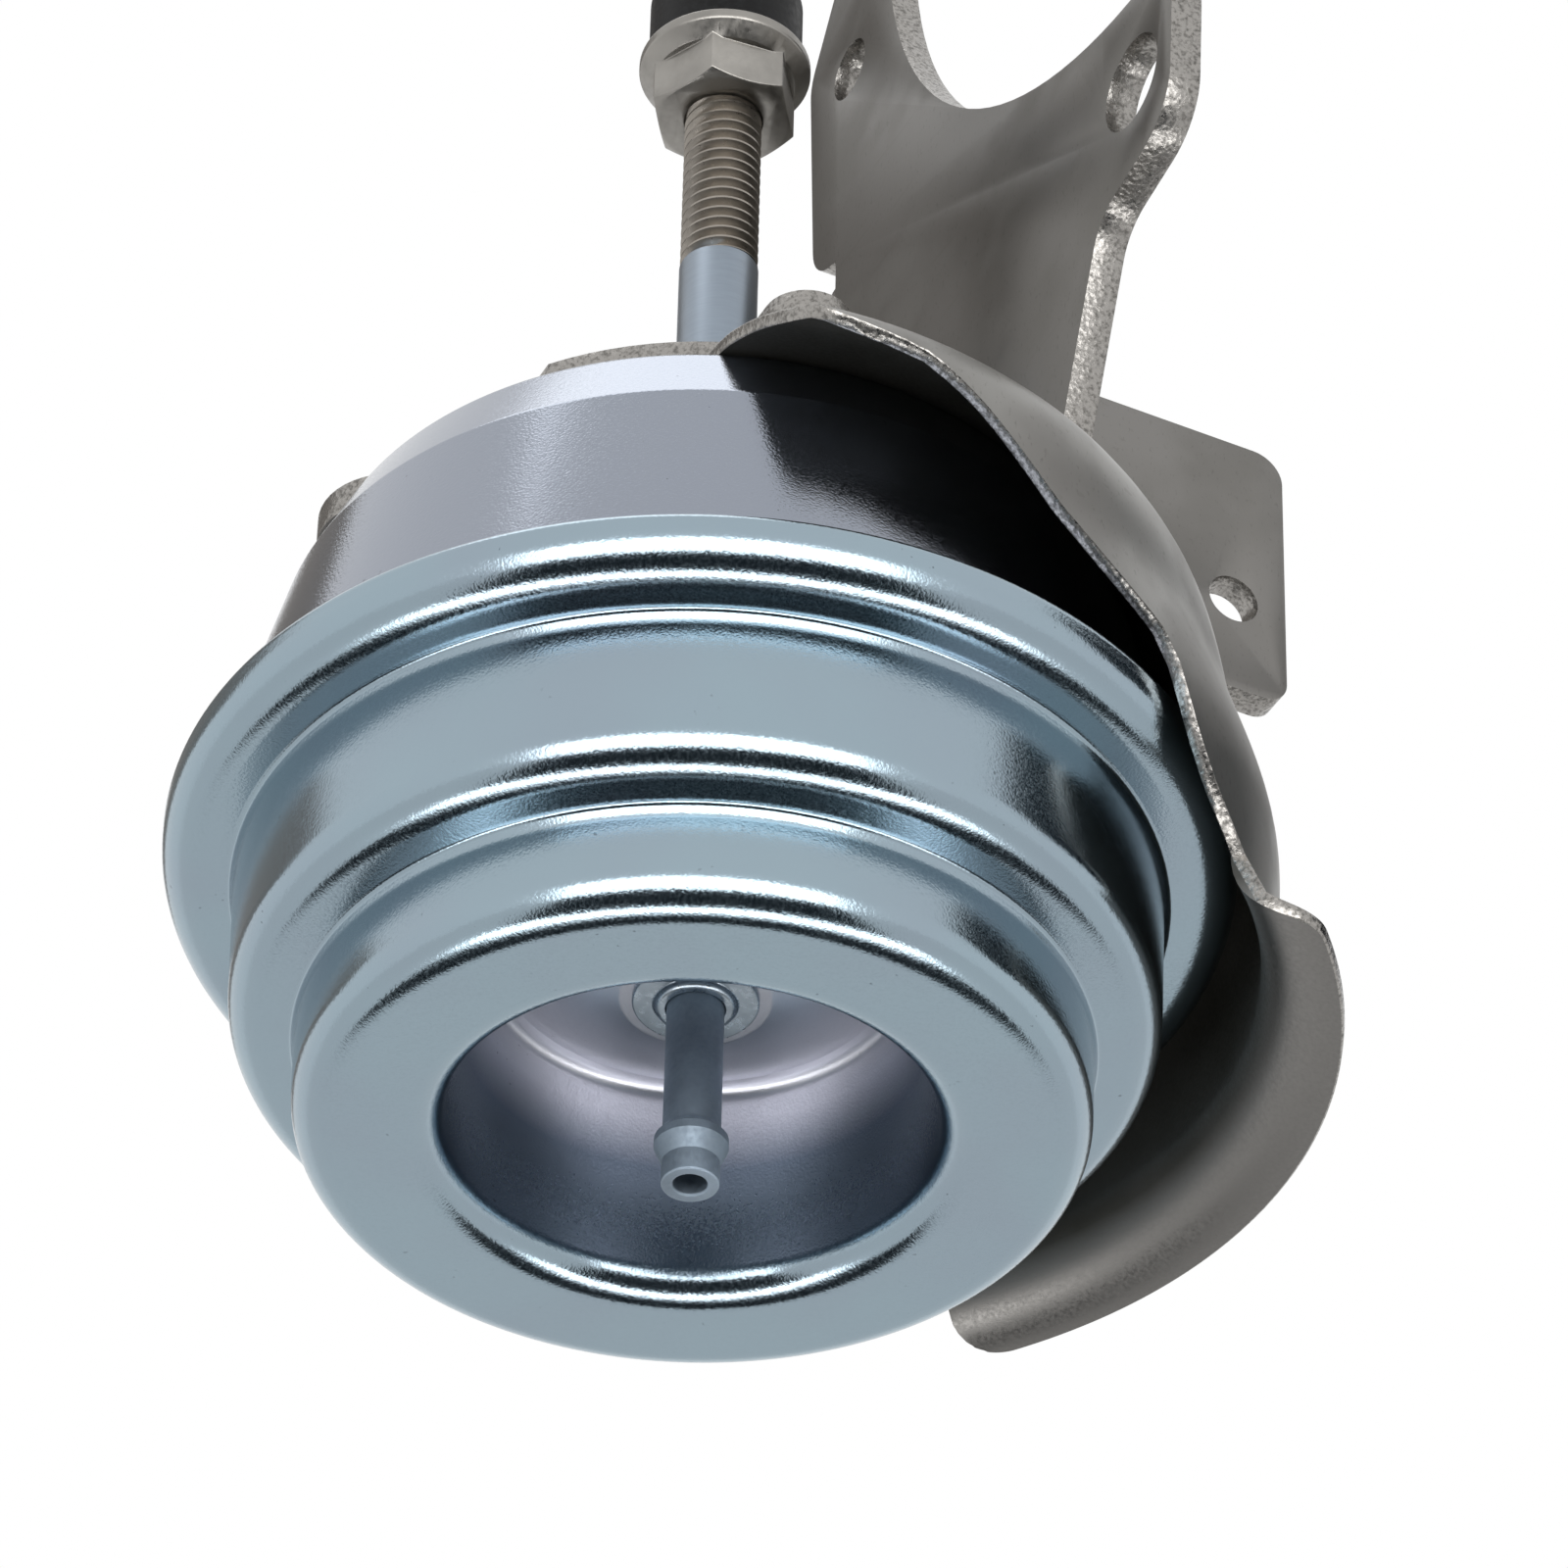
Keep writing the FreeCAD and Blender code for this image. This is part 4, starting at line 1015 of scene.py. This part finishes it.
def card(name, azimuth, elevation, distance, width, height, colour, centre):
    """Matt card that only the metal mirrors, as a photographer holds one beside the lens."""
    data = bpy.data.meshes.new(name)
    x = width / 2.0
    y = height / 2.0
    data.from_pydata([(-x, -y, 0), (x, -y, 0), (x, y, 0), (-x, y, 0)], [], [(0, 1, 2, 3)])
    material = bpy.data.materials.new(name)
    material.use_nodes = True
    tree = material.node_tree
    tree.nodes.clear()
    glow = add(tree, "ShaderNodeEmission", {"Color": tuple(colour), "Strength": 1.0})
    add(tree, "ShaderNodeOutputMaterial", links={"Surface": glow})
    data.materials.append(material)
    piece = bpy.data.objects.new(name, data)
    bpy.context.scene.collection.objects.link(piece)
    piece.matrix_world = aim(place_at(azimuth, elevation, distance, centre), centre)
    piece.visible_camera = False
    piece.visible_diffuse = False
    piece.visible_shadow = False


def background_rays(tree):
    """1 for rays from the camera and for rays that metal or glass mirrors."""
    path = add(tree, "ShaderNodeLightPath")
    seen = add(
        tree,
        "ShaderNodeMath",
        {"operation": "MAXIMUM"},
        {0: path.outputs["Is Camera Ray"], 1: path.outputs["Is Glossy Ray"]},
    )
    through = path.outputs["Is Transmission Ray"]
    return add(tree, "ShaderNodeMath", {"operation": "MAXIMUM"}, {0: seen, 1: through})


def white_surroundings(scene, ambient):
    """White all round for the lens and for what metal mirrors, and dimmer light on matt surfaces."""
    world = bpy.data.worlds.new("white_tent")
    scene.world = world
    world.use_nodes = True
    tree = world.node_tree
    tree.nodes.clear()
    seen = background_rays(tree)
    strength = add(tree, "ShaderNodeMapRange", {"To Min": ambient, "To Max": 1.0}, {"Value": seen})
    glow = add(tree, "ShaderNodeBackground", {"Color": (1.0, 1.0, 1.0, 1.0)}, {"Strength": strength})
    add(tree, "ShaderNodeOutputWorld", links={"Surface": glow})


def pale_floor(height):
    """Large plain floor. It stays white to the lens and keeps the object's shadow."""
    data = bpy.data.meshes.new("floor")
    r = FLOOR_HALF_WIDTH
    data.from_pydata([(-r, -r, height), (r, -r, height), (r, r, height), (-r, r, height)], [], [(0, 1, 2, 3)])
    material = bpy.data.materials.new("pale_floor")
    material.use_nodes = True
    tree = material.node_tree
    tree.nodes.clear()
    matt = add(tree, "ShaderNodeBsdfDiffuse", {"Color": (0.8, 0.8, 0.8, 1.0)})
    glow = add(tree, "ShaderNodeEmission", {"Color": (1.0, 1.0, 1.0, 1.0), "Strength": 1.0})
    part = add(tree, "ShaderNodeMapRange", {"To Max": 0.75}, {"Value": background_rays(tree)})
    mixed = add(tree, "ShaderNodeMixShader", links={0: part, 1: matt, 2: glow})
    add(tree, "ShaderNodeOutputMaterial", links={"Surface": mixed})
    data.materials.append(material)
    floor = bpy.data.objects.new("floor", data)
    bpy.context.scene.collection.objects.link(floor)


class ACTUATOR_OT_stage(bpy.types.Operator):
    """Sets up camera, floor, surroundings, softboxes and the cards that the metal mirrors"""

    bl_idname = "actuator.stage"
    bl_label = "Stage"

    def execute(self, context):
        scene = context.scene
        look = scene.actuator_stage
        scene.view_settings.view_transform = "Standard"
        lens = bpy.data.cameras.new("camera")
        lens.sensor_width = 36.0
        lens.lens = LENS
        lens.clip_start = 0.02
        camera = bpy.data.objects.new("camera", lens)
        scene.collection.objects.link(camera)
        camera.location = Vector(CAMERA_PLACE) * MM
        camera.rotation_euler = [math.radians(turn) for turn in CAMERA_TURN]
        scene.camera = camera
        white_surroundings(scene, look.ambient)
        pale_floor(look.floor_height)
        # Azimuth -115 is the side of the lens, and the lens stands 38 degrees below the object. Each line
        # gives azimuth and elevation in degrees, then distance, width and height in metres
        centre = (0.0, 0.0, SEAM * MM)
        softbox("softbox_over_lens", -115.0, -7.0, 1.0, 1.5, 0.66, look.softbox, centre)
        softbox("softbox_under_lens", -115.0, -83.0, 0.5, 0.8, 0.14, look.softbox * 1.2, centre)
        softbox("softbox_overhead", 155.0, 82.0, 0.9, 0.34, 0.5, look.softbox * 0.4, centre)
        card("dark_card_round_lens", -115.0, -50.5, 0.66, 0.95, 0.53, look.card, centre)
        card("dark_card_below", 64.0, -68.0, 0.48, 0.7, 0.24, look.card, centre)
        card("dark_card_right", -7.0, 30.0, 0.5, 0.5, 0.22, look.card, centre)
        card("grey_card_behind", 112.0, 38.0, 1.2, 0.95, 0.55, look.grey_card, centre)
        return {"FINISHED"}


class ACTUATOR_PT_panel(bpy.types.Panel):
    """Lists the steps that dress the actuator"""

    bl_label = "Wastegate actuator"
    bl_idname = "ACTUATOR_PT_panel"
    bl_space_type = "VIEW_3D"
    bl_region_type = "UI"
    bl_category = "Actuator"

    def draw(self, context):
        layout = self.layout
        for operator in STEPS:
            layout.operator(operator.bl_idname)
        for name in SETTINGS:
            group = getattr(context.scene, name)
            for key in group.bl_rna.properties.keys():
                if key not in ("rna_type", "name"):
                    layout.prop(group, key)


STEPS = (
    ACTUATOR_OT_cans,
    ACTUATOR_OT_shield,
    ACTUATOR_OT_bracket,
    ACTUATOR_OT_rod,
    ACTUATOR_OT_inside,
    ACTUATOR_OT_stage,
)
SETTINGS = {
    "actuator_can": CanProperties,
    "actuator_sheet": SheetProperties,
    "actuator_rod": RodProperties,
    "actuator_stage": StageProperties,
}


def register():
    for group in SETTINGS.values():
        bpy.utils.register_class(group)
    for item in STEPS + (ACTUATOR_PT_panel,):
        bpy.utils.register_class(item)
    for name, group in SETTINGS.items():
        setattr(bpy.types.Scene, name, PointerProperty(type=group))


def unregister():
    for name in SETTINGS:
        delattr(bpy.types.Scene, name)
    for item in (ACTUATOR_PT_panel,) + STEPS[::-1]:
        bpy.utils.unregister_class(item)
    for group in SETTINGS.values():
        bpy.utils.unregister_class(group)


def main():
    register()
    bpy.ops.actuator.cans()
    bpy.ops.actuator.shield()
    bpy.ops.actuator.bracket()
    bpy.ops.actuator.rod()
    bpy.ops.actuator.inside()
    bpy.ops.actuator.stage()


if __name__ == "__main__":
    main()
